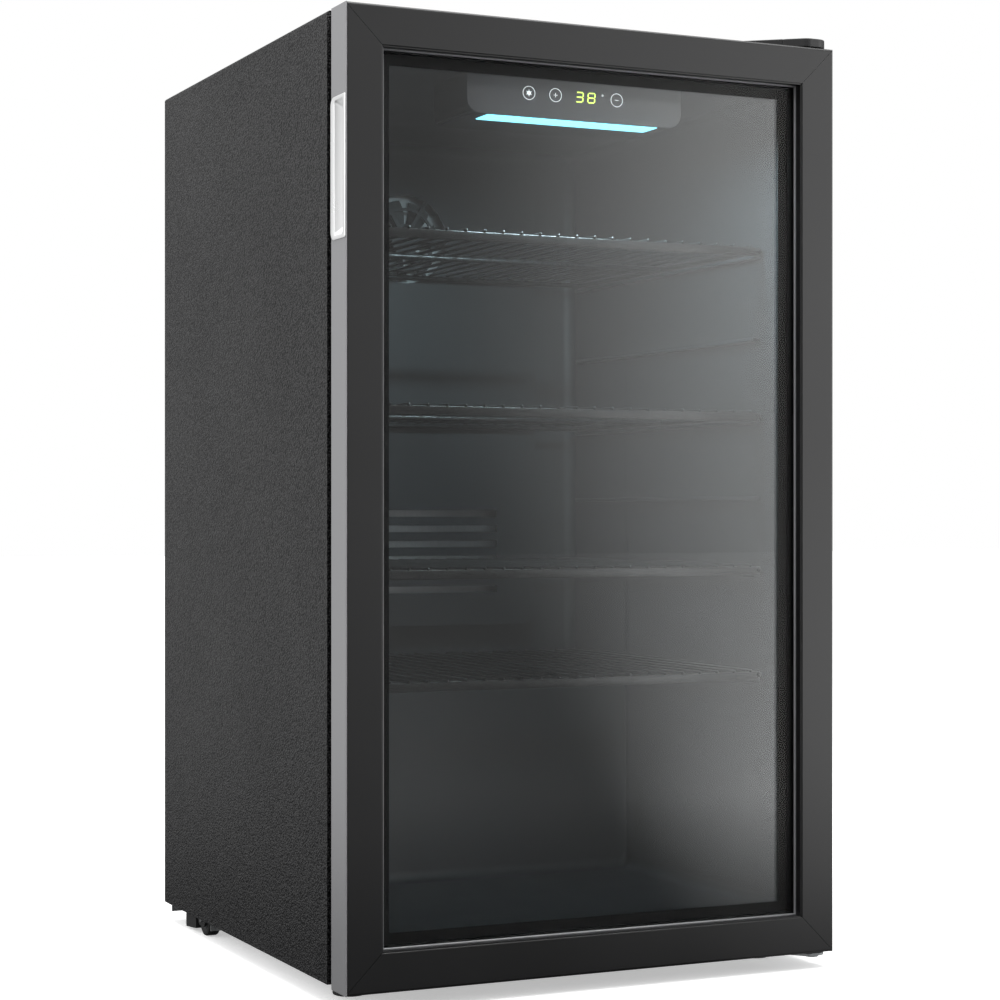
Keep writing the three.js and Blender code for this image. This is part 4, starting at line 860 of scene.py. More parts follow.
@dataclass
class Liner:
    """Vacuum-formed liner: one rounded shell with the compressor step, shelf ribs and front lip.

    Args:
        radius_mm: Draw radius in its corners.
        edge_mm: Radius along the step's top edge.
        roll_mm: Radius where the front lip turns in.
        draft_mm: Slant of the step's riser, which lets the mould out.
        sheet_mm: Sheet thickness.
        lip_mm: Width of the front lip at the sides.
        rib_mm: How far a shelf rib stands in.
        rib_height_mm: Height of a rib.
        facets: Facets round a quarter turn.
    """

    radius_mm: float = 12.0
    edge_mm: float = 3.2
    roll_mm: float = 2.5
    draft_mm: float = 3.0
    sheet_mm: float = 1.8
    lip_mm: float = 17.4
    rib_mm: float = 7.0
    rib_height_mm: float = 4.0
    facets: int = 5

    def build(self) -> None:
        """Form the shell and add the ribs."""
        side_low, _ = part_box("liner_left")
        floor_low, floor_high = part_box("liner_floor")
        ceiling_low, ceiling_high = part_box("liner_ceiling")
        _, back_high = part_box("liner_back")
        half = -side_low.x - self.lip_mm * MM - 0.0003
        front = side_low.y + 0.0001
        floor = self.floor_height()
        back = back_high.y - 0.002
        lips = (-side_low.x - 0.0002, floor_low.z + 0.0002, ceiling_high.z - 0.0002)
        lip_top = max(ceiling_high.z - 0.0002, ceiling_low.z + self.lip_mm * MM)
        shape = bmesh.new()
        inner = self.skin(shape, 0.0, front, half, (floor, floor_high.z, ceiling_low.z), back)
        outer = self.skin(shape, self.sheet_mm * MM, front, half, (floor, floor_high.z, ceiling_low.z), back)
        rims = [self.ring(shape, front + depth, lips[0], lips[1], lip_top, 0.002)
                for depth in (0.0, self.sheet_mm * MM)]
        join_loops(shape, [outer, rims[1], rims[0], inner])
        self.ribs(shape, half)
        liner = publish(shape, "liner_shell", FORMED_HIPS, "cabinet", 40.0)
        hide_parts("liner_left", "liner_right", "liner_ceiling", "liner_floor", "liner_back")

    def quarter(self) -> list[float]:
        """Angles from zero to a right angle."""
        return [math.pi / 2 * step / self.facets for step in range(self.facets + 1)]

    def ring(self, shape: bmesh.types.BMesh, depth: float, half: float, low: float, high: float,
             radius: float) -> list[bmesh.types.BMVert]:
        """Lay one upright ring with rounded corners.

        Args:
            shape: The bmesh that takes it.
            depth: Where it stands, front to back.
            half: Half its width.
            low: Its lowest height.
            high: Its highest height.
            radius: Corner radius.

        Returns:
            The ring's vertices in order.
        """
        return rounded_ring(shape, lambda x, z: Vector((x, depth, z)), (-half, half, low, high),
                            (radius,) * 4, self.facets)

    def skin(self, shape: bmesh.types.BMesh, out: float, front: float, half: float,
             levels: tuple[float, float, float], back: float) -> list[bmesh.types.BMVert]:
        """Loft one face of the sheet from the lip to the back wall.

        Args:
            shape: The bmesh that takes it.
            out: How far this face lies outside the room.
            front: Depth of the lip.
            half: Half the room's width.
            levels: Heights of the floor, the step's top and the ceiling.
            back: Depth of the back wall.

        Returns:
            The first ring, at the lip.
        """
        floor, step, ceiling = levels
        radius = self.radius_mm * MM
        roll = self.roll_mm * MM
        draft = self.draft_mm * MM
        riser = self.step_front() - draft
        stations = []
        for angle in self.quarter():
            inset = roll * (1 - math.sin(angle))
            stations.append((front + roll * (1 - math.cos(angle)) + out, floor - inset, inset))
        for angle in self.quarter():
            stations.append((riser - radius + radius * math.sin(angle),
                             floor + radius * (1 - math.cos(angle)), 0.0))
        edge = self.edge_mm * MM
        for angle in self.quarter():
            stations.append((riser + draft + edge * (1 - math.cos(angle)),
                             step - edge * (1 - math.sin(angle)), 0.0))
        for angle in self.quarter():
            inset = radius * (1 - math.cos(angle))
            stations.append((back - radius + radius * math.sin(angle), step + inset, -inset))
        loops = []
        for depth, low, grow in stations:
            shift = out if depth > front + roll else 0.0
            corner = max(radius + min(grow, 0.0), 0.002)
            loops.append(self.ring(shape, depth + shift, half + grow + out, low - out,
                                   ceiling + grow + out, corner))
        join_loops(shape, loops)
        shape.faces.new(loops[-1])
        return loops[0]

    def floor_height(self) -> float:
        """Inside floor of the liner: the level top of its front lip."""
        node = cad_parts["liner_floor"]
        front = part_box("liner_floor")[0].y
        return max(v.co.z for v in node.data.vertices if v.co.y < front + 0.001)

    def step_front(self) -> float:
        """Front of the compressor step inside the liner."""
        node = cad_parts["liner_floor"]
        _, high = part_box("liner_floor")
        return min(v.co.y for v in node.data.vertices if v.co.z > high.z - 0.008)

    def ribs(self, shape: bmesh.types.BMesh, half: float) -> None:
        """Add the ribs that carry the shelves, and two spare pairs.

        Args:
            shape: The liner's bmesh.
            half: Half the inside width.
        """
        tops = [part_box(f"shelf_{number}")[0].z + WireShelf.drop_mm * MM - 0.0003 for number in (1, 2, 3, 4)]
        tops += [(tops[0] + tops[1]) / 2, (tops[1] + tops[2]) / 2]
        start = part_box("shelf_1")[0].y + 0.0072
        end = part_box("duct_cover")[0].y - 0.0005
        for top in tops:
            for side in (-1, 1):
                near = side * (half - self.rib_mm * MM)
                far = side * (half + 0.001)
                low = Vector((min(near, far), start, top - self.rib_height_mm * MM))
                high = Vector((max(near, far), end, top))
                block(shape, low, high, 0.0012, 2)


@dataclass
class WireShelf:
    """A shelf of welded, powder-coated wire.

    Args:
        number: Which shelf, counted from the top.
        rod_mm: Radius of the side rods.
        cross_mm: Radius of the cross rods.
        wire_mm: Radius of the thin wires.
        pitch_mm: Wire spacing.
        bar_mm: Thickness of the front bar.
        drop_mm: Front bar below the side rods.
        inset_mm: Front bar's face and rods' ends from the ends of the wires.
        sink_mm: How far a wire is pressed into the cross rods when it is welded.
        margin_mm: Least width that stays free of wires, both ends together.
    """

    number: int
    rod_mm: float = 3.0
    cross_mm: float = 2.8
    wire_mm: float = 1.5
    pitch_mm: float = 18.2
    bar_mm: float = 3.0
    drop_mm: float = 2.7
    inset_mm: float = 2.2
    sink_mm: float = 0.6
    margin_mm: float = 16.0

    def build(self) -> None:
        """Weld the shelf together from bars, rods and wires."""
        node = f"shelf_{self.number}"
        low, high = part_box(node)
        rod = self.rod_mm * MM
        cross = self.cross_mm * MM
        wire = self.wire_mm * MM
        half = high.x - rod
        middle = low.z + self.drop_mm * MM + rod
        front = low.y + self.inset_mm * MM
        back = high.y - self.inset_mm * MM
        bar = self.bar_mm * MM
        shape = bmesh.new()
        block(shape, Vector((-half, front, low.z)), Vector((half, front + bar, middle + cross)), 0.0008, 2)
        for x in (-half, half):
            path = [Vector((x, front + bar / 2, middle)), Vector((x, back, middle))]
            tube(shape, path, rod, 16)
        for share in (0.5, 1.0):
            y = front + bar / 2 + (back - front - bar / 2) * share
            tube(shape, [Vector((-half, y, middle)), Vector((half, y, middle))], cross, 14)
        count = int((2 * half / MM - self.margin_mm) / self.pitch_mm)
        level = middle + cross + wire - self.sink_mm * MM
        for index in range(count + 1):
            x = (index - count / 2) * self.pitch_mm * MM
            path = [Vector((x, low.y + wire * 0.9, level)), Vector((x, high.y - wire * 0.9, level))]
            tube(shape, path, wire, 10)
        piece = publish(shape, f"wire_shelf_{self.number}", POWDER_WIRE, node, 50.0)
        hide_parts(node)


# ------------------------------------------------------------------ control unit and air


SEGMENTS = {"a": ((0, 2), (1, 2)), "b": ((1, 1), (1, 2)), "c": ((1, 0), (1, 1)), "d": ((0, 0), (1, 0)),
            "e": ((0, 0), (0, 1)), "f": ((0, 1), (0, 2)), "g": ((0, 1), (1, 1))}


class Digit(Enum):
    """Lit segments of a readout digit."""

    THREE = "abcdg"
    EIGHT = "abcdefg"


@dataclass
class ControlUnit:
    """Touch panel over the lamp: printed rings and marks, a lit readout and a frosted lens.

    Args:
        ring_mm: Outer radius of a printed ring.
        line_mm: Width of a printed line.
        digit_mm: Height of a digit.
        sign_share: Half a plus or minus sign as a share of its ring's radius.
        hub_share: Hub of the lamp mark as a share of its ring's radius.
        digit_pitch_mm: Distance from one digit to the next.
        slant: How far a digit leans for each unit of height.
        segment_mm: Width of a lit segment.
        print_mm: Thickness of the print.
        rise_mm: Row of marks above the panel's middle.
        lamp_x_mm: Lamp mark, left of the middle.
        plus_x_mm: Plus mark.
        minus_x_mm: Minus mark.
        digit_x_mm: First digit's left edge.
        degree_x_mm: Middle of the degree ring, after the digits.
        degree_rise_mm: Height of its middle over the row.
        degree_mm: Radius of the degree ring.
        lens_drop_mm: How far the lens bulges below its seat.
    """

    ring_mm: float = 6.2
    line_mm: float = 0.7
    digit_mm: float = 8.5
    digit_pitch_mm: float = 11.8
    slant: float = 0.1
    segment_mm: float = 1.0
    sign_share: float = 0.32
    hub_share: float = 0.28
    print_mm: float = 0.12
    rise_mm: float = 2.1
    lamp_x_mm: float = -47.0
    plus_x_mm: float = -20.8
    minus_x_mm: float = 40.6
    digit_x_mm: float = -0.2
    degree_x_mm: float = 26.2
    degree_rise_mm: float = 3.14
    degree_mm: float = 1.0
    lens_drop_mm: float = 0.6

    def build(self) -> None:
        """Dress the unit and print its marks."""
        dress("control_fascia", TOUCH_PANEL, 0.6)
        dress("control_housing", MOULDED_ABS, 0.5)
        dress("led_board", SOLDER_MASK, 0.2)
        self.lens()
        low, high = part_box("control_fascia")
        self.front = low.y
        self.row = (low.z + high.z) / 2 + self.rise_mm * MM
        self.marks()
        self.readout()

    def lens(self) -> None:
        """Mould the lamp's lens: a shallow tray with rounded lower edges that hangs below its seat."""
        low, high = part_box("led_lens")
        shape = bmesh.new()
        block(shape, low - Vector((0.0, 0.0, self.lens_drop_mm * MM)), high, 0.0012, 3)
        piece = publish(shape, "lamp_lens_tray", LAMP_LENS, "cabinet")
        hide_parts("led_lens")

    def stroke(self, shape: bmesh.types.BMesh, start: Point2, end: Point2, width: float) -> None:
        """Print a straight line.

        Args:
            shape: The bmesh that takes it.
            start: First end as millimetres right of the middle and above the row.
            end: Other end.
            width: Width of the line in millimetres.
        """
        ahead = Vector((end[0] - start[0], end[1] - start[1])).normalized()
        side = Vector((-ahead.y, ahead.x)) * width / 2
        corners = [(start[0] + side.x, start[1] + side.y), (end[0] + side.x, end[1] + side.y),
                   (end[0] - side.x, end[1] - side.y), (start[0] - side.x, start[1] - side.y)]
        outline = [Vector((x * MM, self.front - self.print_mm * MM, self.row + z * MM)) for x, z in corners]
        slab(shape, outline, Vector((0.0, 2 * self.print_mm * MM, 0.0)))

    def ring(self, shape: bmesh.types.BMesh, x: float, z: float, radius: float) -> None:
        """Print a ring.

        Args:
            shape: The bmesh that takes it.
            x: Middle of the ring, millimetres right of the panel's middle.
            z: Middle of the ring above the row.
            radius: Outer radius in millimetres.
        """
        outer = radius * MM
        inner = (radius - self.line_mm) * MM
        thick = self.print_mm * MM
        centre = Vector((x * MM, self.front, self.row + z * MM))
        profile = [(inner, thick), (outer, thick), (outer, -thick), (inner, -thick), (inner, thick)]
        lathe(shape, profile, centre, "Y", 48)

    def marks(self) -> None:
        """Print the lamp, plus and minus keys and the degree ring."""
        shape = bmesh.new()
        sign = self.ring_mm * self.sign_share
        self.ring(shape, self.lamp_x_mm, 0.0, self.ring_mm * self.hub_share)
        for x in (self.lamp_x_mm, self.plus_x_mm, self.minus_x_mm):
            self.ring(shape, x, 0.0, self.ring_mm)
        arm = self.ring_mm * 0.48
        for turn in (math.pi / 2, math.pi / 6, -math.pi / 6):
            reach = (arm * math.cos(turn), arm * math.sin(turn))
            self.stroke(shape, (self.lamp_x_mm - reach[0], -reach[1]), (self.lamp_x_mm + reach[0], reach[1]),
                        self.line_mm)
        self.stroke(shape, (self.plus_x_mm - sign, 0), (self.plus_x_mm + sign, 0), self.line_mm)
        self.stroke(shape, (self.plus_x_mm, -sign), (self.plus_x_mm, sign), self.line_mm)
        self.stroke(shape, (self.minus_x_mm - sign, 0), (self.minus_x_mm + sign, 0), self.line_mm)
        self.ring(shape, self.degree_x_mm, self.degree_rise_mm, self.degree_mm)
        publish(shape, "panel_marks", PANEL_MARKS, "cabinet")

    def readout(self) -> None:
        """Light the two digits."""
        shape = bmesh.new()
        tall = self.digit_mm
        wide = tall * 0.8
        gap = self.segment_mm * 0.55
        for index, digit in enumerate((Digit.THREE, Digit.EIGHT)):
            left = self.digit_x_mm + index * self.digit_pitch_mm
            for key in digit.value:
                ends = []
                for across, up in SEGMENTS[key]:
                    height = (up - 1) * tall / 2
                    ends.append(Vector((left + across * wide + height * self.slant, height)))
                pull = (ends[1] - ends[0]).normalized() * gap
                self.stroke(shape, tuple(ends[0] + pull), tuple(ends[1] - pull), self.segment_mm)
        publish(shape, "panel_readout", READOUT_LIT, "cabinet")


@dataclass
class AirDuct:
    """Duct cover on the back wall with its fan and the evaporator behind it.

    Args:
        blades: Number of fan blades.
        hub_mm: Hub radius.
        bore_mm: Radius of the bore for the motor's shaft.
        skin_mm: Thickness of a blade.
        sweep: Half the angle that a blade covers, in radians.
        rings: Stations along a blade.
        chords: Stations across a blade.
    """

    blades: int = 7
    hub_mm: float = 16.0
    bore_mm: float = 1.9
    skin_mm: float = 1.2
    sweep: float = 0.3
    rings: int = 7
    chords: int = 6

    def build(self) -> None:
        """Dress the duct and build the fan."""
        dress("duct_cover", FORMED_HIPS, 0.5)
        dress("fan_motor", BLACK_ENAMEL, 0.3)
        dress("evaporator_plate", MILL_ALUMINIUM, 0.4)
        self.fan()

    def fan(self) -> None:
        """Mould the fan: a rounded hub and cambered, twisted blades."""
        low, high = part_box("fan_blades")
        motor_low, motor_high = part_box("fan_motor")
        axis_z = (motor_low.z + motor_high.z) / 2
        centre = Vector((0.0, (low.y + high.y) / 2, axis_z))
        half = (high.y - low.y) / 2
        hub = self.hub_mm * MM
        shape = bmesh.new()
        bore = self.bore_mm * MM
        profile = [(bore, -half), (hub - 0.002, -half), (hub - 0.0006, -half + 0.0006), (hub, -half + 0.002),
                   (hub, half - 0.0005), (hub - 0.0005, half), (bore, half), (bore, -half)]
        lathe(shape, profile, centre, "Y", 48)
        for index in range(self.blades):
            self.blade(shape, centre, half, high.x - 0.0004, 2 * math.pi * index / self.blades)
        piece = publish(shape, "fan_wheel", MOULDED_ABS, "fan", 50.0)
        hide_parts("fan_blades")

    def blade(self, shape: bmesh.types.BMesh, centre: Vector, half: float, tip: float, turn: float) -> None:
        """Add one blade.

        Args:
            shape: The fan's bmesh.
            centre: Middle of the fan.
            half: Half the fan's depth.
            tip: Radius of the blade tips.
            turn: Where the blade stands, in radians.
        """
        root = self.hub_mm * MM * 0.9
        skin = self.skin_mm * MM / 2
        layers = []
        for side in (-1, 1):
            rows = []
            for ring in range(self.rings):
                share = ring / (self.rings - 1)
                radius = root + (tip - root) * share
                row = []
                for chord in range(self.chords):
                    across = 2 * chord / (self.chords - 1) - 1
                    angle = turn + across * self.sweep * (1.15 - 0.15 * share) + 0.16 * share * share
                    camber = (1 - across * across) * half * 0.22
                    depth = across * (half - skin) * (0.95 - 0.35 * share) - camber
                    spot = Vector((math.cos(angle) * radius, depth + side * skin, math.sin(angle) * radius))
                    row.append(shape.verts.new(centre + spot))
                rows.append(row)
            layers.append(rows)
        for rows in layers:
            for near, far in zip(rows, rows[1:]):
                for index in range(self.chords - 1):
                    shape.faces.new((near[index], near[index + 1], far[index + 1], far[index]))
        lower, upper = layers
        border = [(0, index) for index in range(self.chords)]
        border += [(ring, self.chords - 1) for ring in range(1, self.rings)]
        border += [(self.rings - 1, index) for index in range(self.chords - 2, -1, -1)]
        border += [(ring, 0) for ring in range(self.rings - 2, 0, -1)]
        for here, after in zip(border, border[1:] + border[:1]):
            shape.faces.new((lower[here[0]][here[1]], lower[after[0]][after[1]],
                             upper[after[0]][after[1]], upper[here[0]][here[1]]))


# ------------------------------------------------------------------ door


@dataclass
class Door:
    """Door: mitred black members, double glazing, inner frame, gasket and grey side strip.

    Args:
        edge_mm: Rounding on the members' edges.
        bellow_mm: How deep the gasket's folds go.
        gasket_mm: Width of the gasket.
        bead_mm: Visible width of the glazing bead.
        bead_depth_mm: Depth of the bead in front of the pane.
        mask_mm: Black border that shows inside the frame's opening.
        mask_depth_mm: Thickness of the border.
        mask_rim_mm: Bare glass outside the border.
    """

    edge_mm: float = 0.35
    bellow_mm: float = 2.4
    gasket_mm: float = 16.0
    bead_mm: float = 1.1
    bead_depth_mm: float = 2.2
    mask_mm: float = 11.0
    mask_depth_mm: float = 0.3
    mask_rim_mm: float = 1.5

    def build(self) -> None:
        """Dress the door and press in its gasket."""
        for side in ("top", "bottom", "left", "right"):
            dress(f"door_frame_{side}", ANODISED_BLACK, self.edge_mm)
        dress("front_glass", FRONT_PANE, 0.0)
        dress("rear_glass", REAR_PANE, 0.0)
        dress("glass_spacer", SPACER_BLACK, 0.2)
        dress("inner_frame", MOULDED_ABS, 0.5)
        dress("side_trim", GREY_LACQUER, 0.3)
        dress("hinge_bush_top", MOULDED_ABS, 0.3)
        dress("hinge_bush_bottom", MOULDED_ABS, 0.3)
        self.gasket()
        self.bead()
        self.mask()

    def mask(self) -> None:
        """Print the black border on the rear pane that hides the spacer's sealant."""
        low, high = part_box("rear_glass")
        frame_low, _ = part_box("door_frame_bottom")
        frame_top, frame_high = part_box("door_frame_top")
        face = frame_high.z - frame_top.z
        shape = bmesh.new()
        inner = face + self.mask_mm * MM
        thick = self.mask_depth_mm * MM
        rim = self.mask_rim_mm * MM
        outer = (low.x + rim, high.x - rim, low.z + rim, high.z - rim)
        window = (frame_low.x + inner, frame_high.x - inner, frame_low.z + inner, frame_high.z - inner)
        loops = []
        for spans, radius, depth in ((outer, 0.001, 0.0), (window, 0.002, 0.0), (window, 0.002, thick),
                                     (outer, 0.001, thick)):
            y = low.y - thick - PANE_CLEARANCE / 2 + depth
            loops.append(rounded_ring(shape, lambda x, z, y=y: Vector((x, y, z)), spans, (radius,) * 4))
        for first, second in zip(loops, loops[1:] + loops[:1]):
            join_loops(shape, [first, second])
        publish(shape, "pane_border", PANE_ENAMEL, "door")

    def bead(self) -> None:
        """Press the glazing bead in between the lip and the front pane."""
        low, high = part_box("door_frame_top")
        bottom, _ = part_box("door_frame_bottom")
        face = high.z - low.z
        wide = self.bead_mm * MM
        deep = self.bead_depth_mm * MM
        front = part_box("front_glass")[0].y - deep - PANE_CLEARANCE
        section = [(-0.0002, 0.0002), (wide * 0.6, 0.0002), (wide * 0.9, 0.0006), (wide, deep * 0.6),
                   (wide, deep), (-0.0002, deep)]
        shape = bmesh.new()
        mitred(shape, (low.x + face, high.x - face, bottom.z + face, high.z - face),
               [(inset, front + depth) for inset, depth in section])
        publish(shape, "glazing_bead", GLAZING_BEAD, "door", 50.0)

    def gasket(self) -> None:
        """Extrude the gasket: a soft hollow bulb with folded sides that meets the cabinet."""
        low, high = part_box("gasket")
        deep = high.y - low.y
        fold = self.bellow_mm * MM
        width = self.gasket_mm * MM
        section = [(0.0015, 0.0), (0.0, 0.08), (0.0, 0.2), (fold * 0.6, 0.34), (fold, 0.46),
                   (fold * 0.6, 0.58), (0.0006, 0.72), (0.0, 0.86), (0.0008, 0.96), (0.002, 1.0)]
        section = [(inset, low.y + share * deep) for inset, share in section]
        section += [(width - inset, depth) for inset, depth in reversed(section)]
        shape = bmesh.new()
        mitred(shape, (low.x, high.x, low.z, high.z), section)
        piece = publish(shape, "door_gasket", GASKET_PVC, "door", 60.0)
        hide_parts("gasket")


@dataclass
class Pull:
    """Recessed chrome pull: a thin flange round a scoop that is steep at the front lip and eases out behind.

    Args:
        plate_mm: Flange thickness.
        round_mm: Rounding on the flange's edge.
        front_mm: Flange in front of the mouth.
        rear_mm: Flange behind the mouth.
        end_mm: Flange above and below the mouth.
        depth_mm: Depth of the scoop.
        ease_mm: How far the rear wall leans in.
        slope_mm: How far each end leans in.
        wall_mm: Wall of the scoop.
        steps: Rings down the scoop.
    """

    plate_mm: float = 0.8
    round_mm: float = 0.35
    front_mm: float = 4.6
    rear_mm: float = 9.4
    end_mm: float = 3.4
    depth_mm: float = 12.2
    ease_mm: float = 14.5
    slope_mm: float = 15.0
    wall_mm: float = 1.1
    steps: int = 9

    def build(self) -> None:
        """Cast the pull as one closed skin."""
        low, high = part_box("pull_handle")
        shape = bmesh.new()
        face = low.x
        flange = (low.y, high.y, low.z, high.z)
        mouth = (low.y + self.front_mm * MM, high.y - self.rear_mm * MM, low.z + self.end_mm * MM,
                 high.z - self.end_mm * MM)
        outline = (0.007, 0.007, 0.0015, 0.0015)
        trimmed = tuple(radius - self.round_mm * MM for radius in outline)
        back = self.level(shape, face + self.plate_mm * MM, flange, outline)
        front = [back,
                 self.level(shape, face + self.round_mm * MM, flange, outline),
                 self.level(shape, face + self.round_mm * MM * 0.3, self.grown(flange, -0.3), trimmed),
                 self.level(shape, face, self.grown(flange, -0.8), trimmed),
                 self.level(shape, face, self.grown(mouth, 0.5), (0.0035,) * 4),
                 self.level(shape, face + 0.00015, self.grown(mouth, 0.15), (0.0033,) * 4)]
        rear = [back]
        for step in range(self.steps + 1):
            share = step / self.steps
            lean = math.sin(share * math.pi / 2)
            depth = (0.4 + (self.depth_mm - 0.4) * lean) * MM
            spans = (mouth[0] + 0.0003 * share, mouth[1] - self.ease_mm * MM * share ** 1.15,
                     mouth[2] + self.slope_mm * MM * share, mouth[3] - self.slope_mm * MM * share)
            corner = (0.003 - 0.001 * share,) * 4
            front.append(self.level(shape, face + depth, spans, corner))
            wall = self.wall_mm * (0.4 + 0.6 * lean)
            rear.append(self.level(shape, face + max(depth, self.plate_mm * MM) + wall * MM,
                                   self.grown(spans, self.wall_mm), corner))
        for loops in (front, rear):
            join_loops(shape, loops)
            shape.faces.new(loops[-1])
        piece = publish(shape, "pull_scoop", BRIGHT_CHROME, "door", 38.0)
        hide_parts("pull_handle")

    def grown(self, spans: tuple[float, ...], by: float) -> tuple[float, ...]:
        """Move a ring's four sides out by some millimetres."""
        return (spans[0] - by * MM, spans[1] + by * MM, spans[2] - by * MM, spans[3] + by * MM)

    def level(self, shape: bmesh.types.BMesh, x: float, spans: tuple[float, ...],
              radii: tuple[float, ...]) -> list[bmesh.types.BMVert]:
        """Lay one ring of the pull parallel to the door's side.

        Args:
            shape: The bmesh that takes it.
            x: Where it lies.
            spans: Front, back, lowest and highest sides.
            radii: Corner radii: back-low, back-high, front-high, front-low.

        Returns:
            The ring's vertices in order.
        """
        return rounded_ring(shape, lambda y, z: Vector((x, y, z)), spans, radii, 5)


# ------------------------------------------------------------------ hinges


@dataclass
class Hinges:
    """Zinc brackets, pins and screws, with the moulded cover over the top hinge.

    Args:
        cover_edge_mm: Rounding on the cover's edges.
    """

    cover_edge_mm: float = 1.1

    def build(self) -> None:
        """Dress the hinge parts."""
        dress("hinge_cover", MOULDED_ABS, self.cover_edge_mm)
        dress("hinge_cover_cap", MOULDED_ABS, self.cover_edge_mm)
        for node in ("hinge_bracket_top", "hinge_bracket_bottom"):
            dress(node, GALVANISED, 0.4)
        for node in ("hinge_pin_top", "hinge_pin_bottom", "hinge_screw_1", "hinge_screw_2"):
            dress(node, GALVANISED, 0.2)


# ------------------------------------------------------------------ machine compartment


def smooth_line(points: list[Vector], steps: int) -> list[Vector]:
    """Points on a Catmull-Rom line through the given ones.

    Args:
        points: Points that the line passes through.
        steps: Points made for each stretch.

    Returns:
        Points along the whole line.
    """
    ends = [points[0] * 2 - points[1], *points, points[-1] * 2 - points[-2]]
    line = []
    for before, start, end, after in zip(ends, ends[1:], ends[2:], ends[3:]):
        for step in range(steps):
            t = step / steps
            square = 2 * before - 5 * start + 4 * end - after
            cube = 3 * start - before - 3 * end + after
            line.append(0.5 * (2 * start + (end - before) * t + square * t * t + cube * t ** 3))
    line.append(points[-1])
    return line


